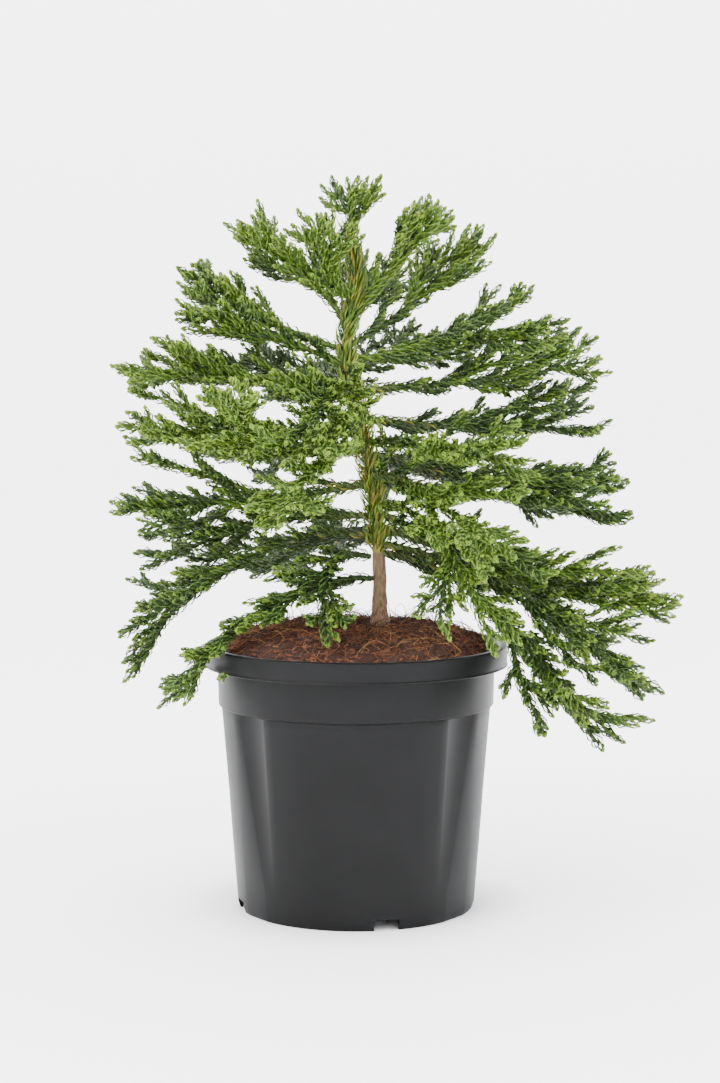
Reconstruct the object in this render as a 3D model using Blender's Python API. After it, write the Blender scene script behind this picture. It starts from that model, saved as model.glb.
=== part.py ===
"""A young spiral Japanese cedar in a round black nursery pot.

Metres, +Z up. The origin is the middle of the pot's underside, and -Y is the
front. A wavy trunk stands in a mound of coir mulch. Limbs leave it on all
sides: the long ones begin as a bare bough, and every one carries a spray of
rope-like shoots, whose needles lie along the stem in a spiral. Each bough and
each spray is a solid of its own, clear of all the others.
"""

import math
import random
from typing import NamedTuple

import bmesh
import bpy
import numpy as np
from mathutils import Vector

# Clearance between solids that touch
GAP = 0.0003

# Pot
POT_HEIGHT = 0.2235
RIM_RADIUS = 0.128
RIM_LOWER_EDGE = 0.206
COLLAR_RADIUS = 0.1168
COLLAR_LOWER_EDGE = 0.1735
BODY_TOP_RADIUS = 0.1135
FOOT_RADIUS = 0.099
FOOT_HEIGHT = 0.005
FOOT_STEP = 0.0009
WALL = 0.0018
BASE_PLATE_UNDERSIDE = 0.010
BASE_PLATE = 0.002
PAD_RADIUS = 0.030
PAD_SLOPE = 0.006
SKIRT = 0.0025
SKIRT_SLOPE = 0.0015

# The pot's rim: its roundings, the flat on top and the slope inside it
RIM_ROUND = 0.0015
RIM_ROUND_HEIGHT = 0.0025
RIM_TOP_ROUND = 0.0022
RIM_TOP_ROUND_HEIGHT = 0.004
RIM_FLAT_INNER = 0.0060
RIM_SLOPE = 0.0025
RIM_SLOPE_HEIGHT = 0.0030
COLLAR_DRAFT = 0.0008
INSIDE_STEP = 0.004

# Tapered flutes in the pot's wall, narrowing to a point near the foot
FLUTE_STARTS = (40.5, 79.5, 120.5)
FLUTE_WIDTH = 19.0
FLUTE_POINT_WIDTH = 7.0
FLUTE_DEPTH = 0.0042
FLUTE_TOP = 0.171
FLUTE_FOOT = 0.025
FLUTE_COLUMNS = 3
PANEL_COLUMN = 13.5
WALL_HEIGHTS = (FLUTE_FOOT, 0.075, 0.123, FLUTE_TOP)

# Drain notches in the foot, and drain holes in the base plate
NOTCH_COUNT = 4
NOTCH_BEARING = -75.3
NOTCH_WIDTH = 0.021
NOTCH_HEIGHT = 0.009
NOTCH_DEPTH = 0.014
DRAIN_RADIUS = 0.006
DRAIN_CIRCLE = 0.072
DRAIN_SIDES = 8

# Mulch mound
MOUND_HEIGHT = 0.238
MOUND_FLAT_RADIUS = 0.046
MULCH_PROFILE = ((0.066, 0.237), (0.086, 0.234), (0.104, 0.228), (0.1158, 0.2195))
MULCH_LUMP = 0.0022

# Trunk: sideways lean against height, from its flat cut to its tip
TRUNK_FOOT = MOUND_HEIGHT + GAP
TRUNK_LEAN = (
    (TRUNK_FOOT, 0.020),
    (0.290, 0.0195),
    (0.344, 0.016),
    (0.407, 0.004),
    (0.474, -0.008),
    (0.525, 0.001),
    (0.562, -0.005),
)
TRUNK_TIP = 0.562
TRUNK_WANDER = 0.003
TRUNK_BASE_RADIUS = 0.0063
TRUNK_TIP_RADIUS = 0.0019
TRUNK_TAPER_POWER = 1.15
FLARE = 0.0030
FLARE_HEIGHT = 0.009
TRUNK_SIDES = 8
TRUNK_RINGS = 17
TRUNK_RING_CROWDING = 1.25

# Boughs and shoots
LIMB_HANDLE = 0.36
BOUGH_FROM_REACH = 0.201
BOUGH_SHARE = 0.27
BOUGH_GAP = 1.3 * GAP
BOUGH_RADIUS = 0.0030
BOUGH_TIP_RADIUS = 0.0024
BOUGH_SIDES = 6
BOUGH_RINGS = 5
CORE_RADIUS = 0.0028
NEEDLE_RADIUS = 0.0048
SHOOT_SIDES = 3
RING_STEP = 0.0215
TIP_TAPER = 0.45
TIP_BLUNTNESS = 0.35
SUNK_ROOT = 0.3
SHOOT_CLEARANCE = 0.0006
SPRAY_HALF_WIDTH = 0.075
STEM_STEPS = 12
SHOOT_STEPS = 5
TRUNK_OWNER = -1

# Arms: the long side shoots that fan out from a spray's stem
SHORT_LIMB = 0.1
FIRST_ARM = 0.36
FIRST_ARM_ON_SHORT_LIMB = 0.14
LAST_ARM = 0.92
ARM_JITTER = 0.05
ARM_ANGLE = 40
ARM_ANGLE_ON_SHORT_LIMB = 47
ARM_ANGLE_VARIES = 6
ARM_ROLL = 48
ARM_LENGTH = (0.62, 0.86)
ARM_LEAST = 0.012
ARM_UPTURN = (-0.05, 0.2)
DROOPING_HOOK = -20
DROOPING_UPTURN = (-0.15, 0.1)
BEND = 0.45

# Side shoots: the short ones in the outer half of a stem or an arm
SUB_SHOOTS = 5
SHORT_ARM = 0.045
SUB_FROM_ON_ARM = 0.5
SUB_FROM_ON_STEM = 0.62
SUB_TO = 0.93
SUB_STEP = (0.011, 0.017)
SUB_ANGLE = (38, 52)
SUB_ROLL = (-20, 50)
SUB_LENGTH = 0.034
SUB_LENGTH_LOSS = 0.014
SUB_LENGTH_VARIES = (0.75, 1.15)
SUB_UPTURN = (0.1, 0.4)

# The crown's furthest reach to the left, to the right and upward
CROWN_LEFT = -0.209
CROWN_RIGHT = 0.274
CROWN_TOP = 0.614


class Limb(NamedTuple):
    """One limb of the tree: a bough, where it is long, and its spray."""

    name: str
    height: float  # of its root on the trunk
    bearing: float  # degrees from +X seen from above; 270 is the front
    reach: float  # level distance from the trunk to its tip
    tip: float  # height of its tip
    rise: float  # degrees of pitch where it leaves the trunk
    hook: float  # degrees of pitch at its tip
    sweep: float = 0.0  # degrees that its start is turned from its bearing
    arms: int = 4  # long side shoots that fan out from its stem


LIMBS = (
    Limb("leader", 0.562, 55, 0.012, 0.6126, 88, 78, 0, 4),
    Limb("top_front", 0.511, 233, 0.063, 0.577, 25, 60, 0, 3),
    Limb("top_left", 0.496, 174, 0.095, 0.563, 50, 5, 0, 5),
    Limb("top_right", 0.501, 345, 0.081, 0.576, 50, 30, 0, 4),
    Limb("high_left", 0.471, 167, 0.134, 0.541, 10, 35, 0, 5),
    Limb("high_left_low", 0.457, 192, 0.144, 0.500, 25, 5, 0, 4),
    Limb("high_right", 0.474, 29, 0.124, 0.560, 25, 45, 0, 4),
    Limb("high_right_low", 0.460, 356, 0.166, 0.487, 15, 5, 0, 5),
    Limb("back_high", 0.480, 85, 0.120, 0.540, 25, 30, 0, 4),
    Limb("back_left_high", 0.446, 143, 0.181, 0.469, 0, 15, 0, 3),
    Limb("back_right_high", 0.450, 58, 0.170, 0.480, 15, 10, 0, 4),
    Limb("front_high", 0.436, 258, 0.160, 0.408, 15, -15, 0, 4),
    Limb("right_upper", 0.435, 14, 0.210, 0.461, 5, 15, 0, 5),
    Limb("right_back", 0.411, 26, 0.227, 0.419, -4, 20, 8, 4),
    Limb("right_mid", 0.382, 18, 0.226, 0.371, -20, 15, 0, 5),
    Limb("right_mid_low", 0.361, 8, 0.211, 0.325, -10, -15, 0, 4),
    Limb("right_low", 0.331, 7, 0.238, 0.280, -25, 25, 0, 4),
    Limb("right_far", 0.320, 358, 0.255, 0.263, -18, 15, 0, 5),
    Limb("right_low_front", 0.306, 343, 0.242, 0.191, -7, -30, -4, 5),
    Limb("right_droop", 0.299, 327, 0.212, 0.152, -3, -50, 0, 5),
    Limb("front_right_high", 0.394, 311, 0.171, 0.398, 0, 10, 0, 4),
    Limb("front_right_mid", 0.366, 297, 0.202, 0.326, 5, -10, 0, 4),
    Limb("front_right_low", 0.340, 302, 0.176, 0.233, 10, -55, 0, 3),
    Limb("front_left", 0.412, 238, 0.201, 0.440, -8, 42, 0, 4),
    Limb("front_mid", 0.386, 252, 0.210, 0.339, 10, -35, 0, 4),
    Limb("front_low", 0.296, 250, 0.122, 0.236, 14, -42, -62, 2),
    Limb("left_high", 0.425, 183, 0.199, 0.456, 25, 10, 0, 5),
    Limb("left_mid", 0.400, 196, 0.207, 0.408, 0, 5, 0, 5),
    Limb("left_mid_low", 0.358, 175, 0.222, 0.341, -12, 3, 0, 5),
    Limb("left_low", 0.330, 164, 0.212, 0.280, 3, -25, 0, 4),
    Limb("left_droop", 0.314, 179, 0.214, 0.206, 6, -50, 0, 4),
    Limb("left_droop_front", 0.278, 207, 0.188, 0.195, 4, -46, 0, 4),
    Limb("back_mid", 0.425, 105, 0.200, 0.440, 10, 5, 0, 4),
    Limb("back_left_mid", 0.385, 130, 0.210, 0.370, 0, -5, 0, 4),
    Limb("back_right_mid", 0.370, 70, 0.215, 0.350, 5, -10, 0, 4),
    Limb("back_right_low", 0.315, 48, 0.230, 0.235, 0, -30, 0, 4),
    Limb("back_left_low", 0.310, 118, 0.215, 0.265, 0, -25, 0, 4),
)


class Curve:
    """A Bezier curve through space, read by its share from 0 to 1."""

    def __init__(self, *controls):
        self.controls = [Vector(c) for c in controls]

    def at(self, share):
        points = self.controls
        while len(points) > 1:
            points = [a.lerp(b, share) for a, b in zip(points, points[1:])]
        return points[0]

    def heading(self, share):
        step = 0.01
        low = max(0.0, share - step)
        high = min(1.0, share + step)
        return (self.at(high) - self.at(low)).normalized()

    def length(self, steps=16):
        points = [self.at(i / steps) for i in range(steps + 1)]
        return sum((b - a).length for a, b in zip(points, points[1:]))

    def stretch(self, low, high, count):
        """Even points from one share to another."""
        return [self.at(low + (high - low) * i / count) for i in range(count + 1)]


class Shoot(NamedTuple):
    """One shoot of a spray: its centre line and its order from the stem."""

    curve: Curve
    length: float
    order: int


def direction(bearing, pitch):
    """Unit vector for a bearing and a pitch, both in degrees."""
    level = math.cos(math.radians(pitch))
    turn = math.radians(bearing)
    return Vector((level * math.cos(turn), level * math.sin(turn), math.sin(math.radians(pitch))))


def trunk_radius(height):
    share = (height - TRUNK_FOOT) / (TRUNK_TIP - TRUNK_FOOT)
    taper = (1.0 - min(1.0, max(0.0, share))) ** TRUNK_TAPER_POWER
    flare = FLARE * math.exp(-(height - TRUNK_FOOT) / FLARE_HEIGHT)
    return TRUNK_TIP_RADIUS + (TRUNK_BASE_RADIUS - TRUNK_TIP_RADIUS) * taper + flare


def trunk_point(height):
    """Centre of the trunk at a height, by a smooth curve through its lean."""
    knots = TRUNK_LEAN
    i = 0
    while i < len(knots) - 2 and height > knots[i + 1][0]:
        i += 1
    (z1, x1), (z2, x2) = knots[i], knots[i + 1]
    z0, x0 = knots[max(0, i - 1)]
    z3, x3 = knots[min(len(knots) - 1, i + 2)]
    span = z2 - z1
    slope1 = (x2 - x0) / (z2 - z0) * span
    slope2 = (x3 - x1) / (z3 - z1) * span
    s = (height - z1) / span
    x = (
        x1 * (2 * s**3 - 3 * s**2 + 1)
        + slope1 * (s**3 - 2 * s**2 + s)
        + x2 * (3 * s**2 - 2 * s**3)
        + slope2 * (s**3 - s**2)
    )
    turns = (height - TRUNK_FOOT) / (TRUNK_TIP - TRUNK_FOOT)
    return Vector((x, TRUNK_WANDER * math.sin(3 * math.pi * turns), height))


def limb_curve(limb):
    """Centre line of a limb, from the trunk's surface to its tip."""
    centre = trunk_point(limb.height)
    start = direction(limb.bearing + limb.sweep, limb.rise)
    end = direction(limb.bearing - 0.5 * limb.sweep, limb.hook)
    tip = centre + limb.reach * direction(limb.bearing, 0.0)
    tip.z = limb.tip
    if limb.height >= TRUNK_TIP:
        root = centre + Vector((0, 0, GAP))
    else:
        lean = BOUGH_RADIUS * abs(math.sin(math.radians(limb.rise)))
        level = Vector((start.x, start.y, 0.0)).normalized()
        root = centre + level * (trunk_radius(limb.height) + lean + 2 * GAP)
    handle = LIMB_HANDLE * (tip - root).length
    return Curve(root, root + handle * start, tip - handle * end, tip)


def side_shoot(parent, share, across, angle, roll, length, upturn):
    """A shoot that leaves its parent sideways, bends forward and turns up."""
    root = parent.at(share)
    ahead = parent.heading(share)
    out = across - across.dot(ahead) * ahead
    out.normalize()
    over = ahead.cross(out)
    if over.z < 0:
        over = -over
    aside = math.cos(roll) * out + math.sin(roll) * over
    first = math.cos(angle) * ahead + math.sin(angle) * aside
    last = math.cos(BEND * angle) * ahead + math.sin(BEND * angle) * aside
    last = (last + upturn * Vector((0, 0, 1))).normalized()
    bend = root + 0.5 * length * first
    return Curve(root, bend, bend + 0.5 * length * last)


def grow_spray(limb, stem):
    """Shoots of a limb's spray, in order: its arms, then the shoots on them."""
    rng = random.Random("arms of " + limb.name)
    reach = stem.length()
    across = direction(limb.bearing + 90, 0)
    long = reach > SHORT_LIMB
    first_share = FIRST_ARM if long else FIRST_ARM_ON_SHORT_LIMB
    fan = ARM_ANGLE if long else ARM_ANGLE_ON_SHORT_LIMB
    upturns = DROOPING_UPTURN if limb.hook < DROOPING_HOOK else ARM_UPTURN
    side = rng.choice((-1, 1))
    arms = []
    for i in range(limb.arms):
        share = first_share + (LAST_ARM - first_share) * i / limb.arms + rng.uniform(0, ARM_JITTER)
        angle = math.radians(fan + rng.uniform(-ARM_ANGLE_VARIES, ARM_ANGLE_VARIES))
        roll = math.radians(rng.uniform(-ARM_ROLL, ARM_ROLL))
        length = (1.0 - share) * reach * rng.uniform(*ARM_LENGTH) + ARM_LEAST
        upturn = rng.uniform(*upturns)
        curve = side_shoot(stem, share, side * across, angle, roll, length, upturn)
        arms.append(Shoot(curve, length, 1))
        side = -side
    subs = []
    for carrier in [Shoot(stem, reach, 0)] + arms:
        subs += grow_sub_shoots(limb, carrier, len(subs), across)
    return arms, subs


def grow_sub_shoots(limb, carrier, start, across):
    """Short shoots in the outer half of a stem or arm, on alternate sides."""
    rng = random.Random(f"shoots {start} of {limb.name}")
    found = []
    side = rng.choice((-1, 1))
    share = SUB_FROM_ON_ARM if carrier.order else SUB_FROM_ON_STEM
    while share < SUB_TO:
        angle = math.radians(rng.uniform(*SUB_ANGLE))
        roll = math.radians(rng.uniform(*SUB_ROLL))
        length = (SUB_LENGTH - SUB_LENGTH_LOSS * share) * rng.uniform(*SUB_LENGTH_VARIES)
        length *= min(1.0, carrier.length / SHORT_ARM)
        upturn = rng.uniform(*SUB_UPTURN)
        curve = side_shoot(carrier.curve, share, side * across, angle, roll, length, upturn)
        found.append(Shoot(curve, length, 2))
        side = -side
        share += rng.uniform(*SUB_STEP) / carrier.length
    return found


class Occupied:
    """Stretches of limb and shoot that are taken, each with a radius and an owner."""

    def __init__(self):
        self.starts = np.zeros((0, 3))
        self.ends = np.zeros((0, 3))
        self.radii = np.zeros(0)
        self.owners = np.zeros(0, dtype=int)

    def add(self, points, radius, owner):
        joints = np.array([tuple(p) for p in points])
        self.starts = np.vstack((self.starts, joints[:-1]))
        self.ends = np.vstack((self.ends, joints[1:]))
        self.radii = np.append(self.radii, np.full(len(points) - 1, radius))
        self.owners = np.append(self.owners, np.full(len(points) - 1, owner))

    def is_free(self, points, radius, owner):
        others = self.owners != owner
        starts = self.starts[others]
        ends = self.ends[others]
        limits = self.radii[others] + radius
        for a, b in zip(points, points[1:]):
            if np.any(segment_distances(np.array(a), np.array(b), starts, ends) < limits):
                return False
        return True


def segment_distances(a, b, starts, ends, samples=5):
    """Least distance of one stretch from each of many, by samples along it."""
    best = np.full(len(starts), np.inf)
    spans = ends - starts
    squares = np.maximum(np.einsum("ij,ij->i", spans, spans), 1e-12)
    for k in range(samples):
        point = a + (b - a) * k / (samples - 1)
        shares = np.clip(np.einsum("ij,ij->i", point - starts, spans) / squares, 0, 1)
        nearest = starts + spans * shares[:, None]
        best = np.minimum(best, np.linalg.norm(point - nearest, axis=1))
    return best


def mulch_height(level):
    """Top of the mulch at a distance from the pot's axis."""
    knots = ((MOUND_FLAT_RADIUS, MOUND_HEIGHT),) + MULCH_PROFILE
    return float(np.interp(level, [r for r, _ in knots], [z for _, z in knots])) + MULCH_LUMP


def clear_of_pot(points, margin):
    """Whether a shoot keeps off the pot, the mulch and the ground."""
    for p in points:
        level = math.hypot(p.x, p.y)
        floor = 0.0
        if level < RIM_RADIUS + margin:
            floor = max(POT_HEIGHT, mulch_height(level))
        if p.z < floor + margin:
            return False
    return True


def keeps_to_space(points, stem):
    """Whether a shoot stays within the crown and near its spray's stem."""
    if points[-1].z > CROWN_TOP or not CROWN_LEFT < points[-1].x < CROWN_RIGHT:
        return False
    line = stem.stretch(0.0, 1.0, STEM_STEPS)
    starts = np.array([tuple(p) for p in line[:-1]])
    ends = np.array([tuple(p) for p in line[1:]])
    tip = np.array(points[-1])
    return segment_distances(tip, tip, starts, ends, 2).min() < SPRAY_HALF_WIDTH


def choose_shoots(stems, taken):
    """Shoots that each limb's spray gets: all arms first, then an even few of the rest."""
    grown = [grow_spray(limb, stem) for limb, stem in zip(LIMBS, stems)]
    kept = [[] for limb in LIMBS]
    for turn in range(2):
        for number, stem in enumerate(stems):
            choice = grown[number][turn]
            if turn:
                every = max(1, len(choice) // SUB_SHOOTS)
                choice = choice[::every][:SUB_SHOOTS]
            for shoot in choice:
                points = shoot.curve.stretch(0.0, 1.0, SHOOT_STEPS)
                if (
                    taken.is_free(points, NEEDLE_RADIUS, number)
                    and clear_of_pot(points, NEEDLE_RADIUS + SHOOT_CLEARANCE)
                    and keeps_to_space(points, stem)
                ):
                    kept[number].append(shoot)
                    taken.add(points, NEEDLE_RADIUS + SHOOT_CLEARANCE, number)
    return kept


def material(name, colour, roughness):
    made = bpy.data.materials.new(name)
    made.use_nodes = True
    shader = made.node_tree.nodes["Principled BSDF"]
    shader.inputs["Base Color"].default_value = (*colour, 1.0)
    shader.inputs["Roughness"].default_value = roughness
    shader.inputs["Metallic"].default_value = 0.0
    return made


def mesh_object(name, vertices, faces, finish, sharp=None):
    """A named object from vertices and faces, with its faces turned outward."""
    mesh = bpy.data.meshes.new(name)
    mesh.from_pydata([tuple(v) for v in vertices], [], faces)
    shell = bmesh.new()
    shell.from_mesh(mesh)
    bmesh.ops.triangulate(shell, faces=shell.faces)
    bmesh.ops.recalc_face_normals(shell, faces=shell.faces)
    shell.to_mesh(mesh)
    shell.free()
    if sharp is not None:
        mesh.shade_smooth()
        mesh.set_sharp_from_angle(angle=math.radians(sharp))
    mesh.materials.append(finish)
    made = bpy.data.objects.new(name, mesh)
    bpy.context.scene.collection.objects.link(made)
    return made


def tube(rings):
    """Vertices and faces of a closed tube through rings of equal count."""
    sides = len(rings[0])
    vertices = [p for ring in rings for p in ring]
    faces = []
    for i in range(len(rings) - 1):
        for k in range(sides):
            a = i * sides + k
            b = i * sides + (k + 1) % sides
            faces.append((a, b, b + sides, a + sides))
    last = (len(rings) - 1) * sides
    faces.append(tuple(range(sides))[::-1])
    faces.append(tuple(range(last, last + sides)))
    return vertices, faces


def ring_frame(ahead):
    """Two unit vectors square to a heading."""
    guide = Vector((0, 0, 1)) if abs(ahead.z) < 0.9 else Vector((1, 0, 0))
    across = ahead.cross(guide).normalized()
    return across, across.cross(ahead)


def round_ring(centre, ahead, radius, sides):
    across, over = ring_frame(ahead)
    turn = 2 * math.pi / sides
    return [
        centre + radius * (math.cos(k * turn) * across + math.sin(k * turn) * over)
        for k in range(sides)
    ]


def make_trunk(finish):
    rings = []
    for i in range(TRUNK_RINGS):
        share = i / (TRUNK_RINGS - 1)
        height = TRUNK_FOOT + (TRUNK_TIP - TRUNK_FOOT) * share**TRUNK_RING_CROWDING
        centre = trunk_point(height)
        turn = 2 * math.pi / TRUNK_SIDES
        radius = trunk_radius(height)
        rings.append(
            [
                centre + radius * Vector((math.cos(k * turn), math.sin(k * turn), 0))
                for k in range(TRUNK_SIDES)
            ]
        )
    vertices, faces = tube(rings)
    return mesh_object("trunk", vertices, faces, finish, sharp=50)


def make_bough(limb, curve, finish):
    rings = []
    for i in range(BOUGH_RINGS):
        share = BOUGH_SHARE * i / (BOUGH_RINGS - 1)
        radius = BOUGH_RADIUS + (BOUGH_TIP_RADIUS - BOUGH_RADIUS) * i / (BOUGH_RINGS - 1)
        rings.append(round_ring(curve.at(share), curve.heading(share), radius, BOUGH_SIDES))
    vertices, faces = tube(rings)
    return mesh_object("bough_" + limb.name, vertices, faces, finish, sharp=50)


def rope(curve, low, length, finish, name, root=1.0):
    """A shoot: a slim three-sided core whose corners stand out by turns as needles."""
    count = max(2, round(length * (1.0 - low) / RING_STEP))
    rings = []
    for i in range(count + 1):
        share = low + (1.0 - low) * i / count
        centre = curve.at(share)
        taper = 1.0 - TIP_TAPER * (i / count) ** 2 if i else root
        ring = round_ring(centre, curve.heading(share), CORE_RADIUS * taper, SHOOT_SIDES)
        if 0 < i < count:
            corner = i % SHOOT_SIDES
            outward = (ring[corner] - centre).normalized()
            ring[corner] = centre + NEEDLE_RADIUS * taper * outward
        if i == count:
            ring = [centre.lerp(p, TIP_BLUNTNESS) for p in ring]
        rings.append(ring)
    vertices, faces = tube(rings)
    return mesh_object(name, vertices, faces, finish)


def largest_shell(mesh):
    """Keep the largest closed shell, so that no scrap and no sealed hollow stays."""
    shell = bmesh.new()
    shell.from_mesh(mesh)
    bmesh.ops.triangulate(shell, faces=shell.faces)
    waiting = set(shell.verts)
    groups = []
    while waiting:
        seed = waiting.pop()
        group = {seed}
        edge = [seed]
        while edge:
            vertex = edge.pop()
            for link in vertex.link_edges:
                other = link.other_vert(vertex)
                if other not in group:
                    group.add(other)
                    waiting.discard(other)
                    edge.append(other)
        groups.append(group)
    groups.sort(key=len, reverse=True)
    scraps = [v for group in groups[1:] for v in group]
    bmesh.ops.delete(shell, geom=scraps, context="VERTS")
    shell.to_mesh(mesh)
    shell.free()


def union_with(body, twigs, solver):
    """The mesh of a body joined with a collection of twigs by one union."""
    union = body.modifiers.new("Join shoots", "BOOLEAN")
    union.operation = "UNION"
    union.operand_type = "COLLECTION"
    union.collection = twigs
    union.solver = solver
    bpy.context.view_layer.update()
    depsgraph = bpy.context.evaluated_depsgraph_get()
    joined = bpy.data.meshes.new_from_object(body.evaluated_get(depsgraph))
    body.modifiers.remove(union)
    return joined


def is_closed(mesh):
    shell = bmesh.new()
    shell.from_mesh(mesh)
    closed = all(len(edge.link_faces) == 2 for edge in shell.edges)
    shell.free()
    return closed


def make_spray(limb, stem, first_share, shoots, finish):
    """One solid for a spray: its stem joined with its shoots by one union."""
    name = "spray_" + limb.name
    body = rope(stem, first_share, stem.length(), finish, name)
    if not shoots:
        return body
    twigs = bpy.data.collections.new(name + "_shoots")
    for shoot in shoots:
        twig = rope(shoot.curve, 0.0, shoot.length, finish, "twig", SUNK_ROOT)
        bpy.context.scene.collection.objects.unlink(twig)
        twigs.objects.link(twig)
    bpy.context.scene.collection.children.link(twigs)
    for solver in ("EXACT", "MANIFOLD"):
        joined = union_with(body, twigs, solver)
        if is_closed(joined):
            break
    body.data = joined
    for twig in list(twigs.objects):
        bpy.data.objects.remove(twig)
    bpy.data.collections.remove(twigs)
    largest_shell(body.data)
    return body


def panel_columns(low, high):
    """Plain columns between two angles of the pot's wall."""
    count = max(2, round((high - low) / PANEL_COLUMN))
    return [(low + (high - low) * k / count, 0.0, 0.0) for k in range(1, count)]


def pot_columns():
    """Columns round the pot: an angle, a share of a flute's width past it, a depth share."""
    half = [(0.0, 0.0, 0.0)]
    panel_start = 0.0
    for flute in FLUTE_STARTS:
        half += panel_columns(panel_start, flute)
        for k in range(FLUTE_COLUMNS + 1):
            across = k / FLUTE_COLUMNS
            half.append((flute, across, math.sin(math.pi * across)))
        panel_start = flute + FLUTE_WIDTH
    half += panel_columns(panel_start, 180.0)
    mirrored = [(-angle, -across, depth) for angle, across, depth in reversed(half[1:])]
    return half + [(180.0, 0.0, 0.0)] + mirrored


def flute_share(height):
    """How far a flute is open at a height: 0 at its point, 1 under the collar."""
    share = (height - FLUTE_FOOT) / (FLUTE_TOP - FLUTE_FOOT)
    return min(1.0, max(0.0, share))


def pot_ring(radius, height, columns, fluted):
    """One ring of the pot's wall, drawn in where the flutes are."""
    share = flute_share(height)
    ring = []
    for base, across, depth in columns:
        width = FLUTE_POINT_WIDTH + (FLUTE_WIDTH - FLUTE_POINT_WIDTH) * share
        turn = math.radians(base + across * width - 90.0)
        inset = FLUTE_DEPTH * depth * share if fluted else 0.0
        ring.append(((radius - inset) * math.cos(turn), (radius - inset) * math.sin(turn), height))
    return ring


def body_radius(height):
    """Outer radius of the plain wall below the collar."""
    slope = (BODY_TOP_RADIUS - FOOT_RADIUS) / COLLAR_LOWER_EDGE
    return FOOT_RADIUS + slope * height + FOOT_STEP * min(1.0, height / FOOT_HEIGHT)


def turned(profile, columns):
    """Vertices and faces of a solid turned from a profile that starts and ends on the axis."""
    count = len(columns)
    vertices = [(0.0, 0.0, profile[0][1])]
    for radius, height, fluted in profile[1:-1]:
        vertices += pot_ring(radius, height, columns, fluted)
    vertices.append((0.0, 0.0, profile[-1][1]))
    faces = [(0, 1 + (k + 1) % count, 1 + k) for k in range(count)]
    for i in range(len(profile) - 3):
        low = 1 + i * count
        for k in range(count):
            after = (k + 1) % count
            faces.append((low + k, low + after, low + count + after, low + count + k))
    last = len(vertices) - 1
    ring = last - count
    faces += [(ring + k, ring + (k + 1) % count, last) for k in range(count)]
    return vertices, faces


def make_pot(finish):
    plate_top = BASE_PLATE_UNDERSIDE + BASE_PLATE
    inside = COLLAR_RADIUS - WALL
    profile = [
        (0.0, 0.0, False),
        (PAD_RADIUS, 0.0, False),
        (PAD_RADIUS + PAD_SLOPE, BASE_PLATE_UNDERSIDE, False),
        (FOOT_RADIUS - SKIRT - SKIRT_SLOPE, BASE_PLATE_UNDERSIDE, False),
        (FOOT_RADIUS - SKIRT, 0.0, False),
        (FOOT_RADIUS, 0.0, False),
        (body_radius(FOOT_HEIGHT), FOOT_HEIGHT, False),
    ]
    profile += [(body_radius(z), z, True) for z in WALL_HEIGHTS]
    profile += [
        (COLLAR_RADIUS - COLLAR_DRAFT, COLLAR_LOWER_EDGE, False),
        (COLLAR_RADIUS, RIM_LOWER_EDGE - RIM_ROUND, False),
        (RIM_RADIUS - RIM_ROUND, RIM_LOWER_EDGE, False),
        (RIM_RADIUS, RIM_LOWER_EDGE + RIM_ROUND_HEIGHT, False),
        (RIM_RADIUS, POT_HEIGHT - RIM_TOP_ROUND_HEIGHT, False),
        (RIM_RADIUS - RIM_TOP_ROUND, POT_HEIGHT, False),
        (RIM_RADIUS - RIM_FLAT_INNER, POT_HEIGHT, False),
        (RIM_RADIUS - RIM_FLAT_INNER - RIM_SLOPE, POT_HEIGHT - RIM_SLOPE_HEIGHT, False),
        (inside, RIM_LOWER_EDGE - INSIDE_STEP, False),
        (inside - COLLAR_DRAFT, COLLAR_LOWER_EDGE, False),
    ]
    profile += [(body_radius(z) - WALL, z, True) for z in reversed(WALL_HEIGHTS)]
    profile += [
        (body_radius(plate_top) - WALL, plate_top, False),
        (PAD_RADIUS + PAD_SLOPE, plate_top, False),
        (PAD_RADIUS, BASE_PLATE, False),
        (0.0, BASE_PLATE, False),
    ]
    vertices, faces = turned(profile, pot_columns())
    pot = mesh_object("pot", vertices, faces, finish, sharp=35)
    for i in range(NOTCH_COUNT):
        bearing = math.radians(NOTCH_BEARING + 360.0 * i / NOTCH_COUNT)
        cut_notch(pot, bearing)
        cut_drain(pot, bearing + math.pi / NOTCH_COUNT)
    return pot


def cutter(name, bound):
    """Hide a cutting shape from the model."""
    bound.name = name
    bound.hide_render = True
    bound.display_type = "WIRE"
    return bound


def subtract(target, tool):
    cut = target.modifiers.new("Cut " + tool.name, "BOOLEAN")
    cut.operation = "DIFFERENCE"
    cut.object = tool
    cut.solver = "EXACT"


def cut_notch(pot, bearing):
    centre = FOOT_RADIUS - SKIRT / 2
    bpy.ops.mesh.primitive_cube_add(size=1)
    tool = cutter("notch_tool", bpy.context.object)
    tool.scale = (NOTCH_DEPTH, NOTCH_WIDTH, 2 * NOTCH_HEIGHT)
    tool.location = (centre * math.cos(bearing), centre * math.sin(bearing), 0.0)
    tool.rotation_euler = (0, 0, bearing)
    subtract(pot, tool)


def cut_drain(pot, bearing):
    bpy.ops.mesh.primitive_cylinder_add(vertices=DRAIN_SIDES, radius=DRAIN_RADIUS, depth=5 * BASE_PLATE)
    tool = cutter("drain_tool", bpy.context.object)
    tool.location = (
        DRAIN_CIRCLE * math.cos(bearing),
        DRAIN_CIRCLE * math.sin(bearing),
        BASE_PLATE_UNDERSIDE + BASE_PLATE / 2,
    )
    subtract(pot, tool)


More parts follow.
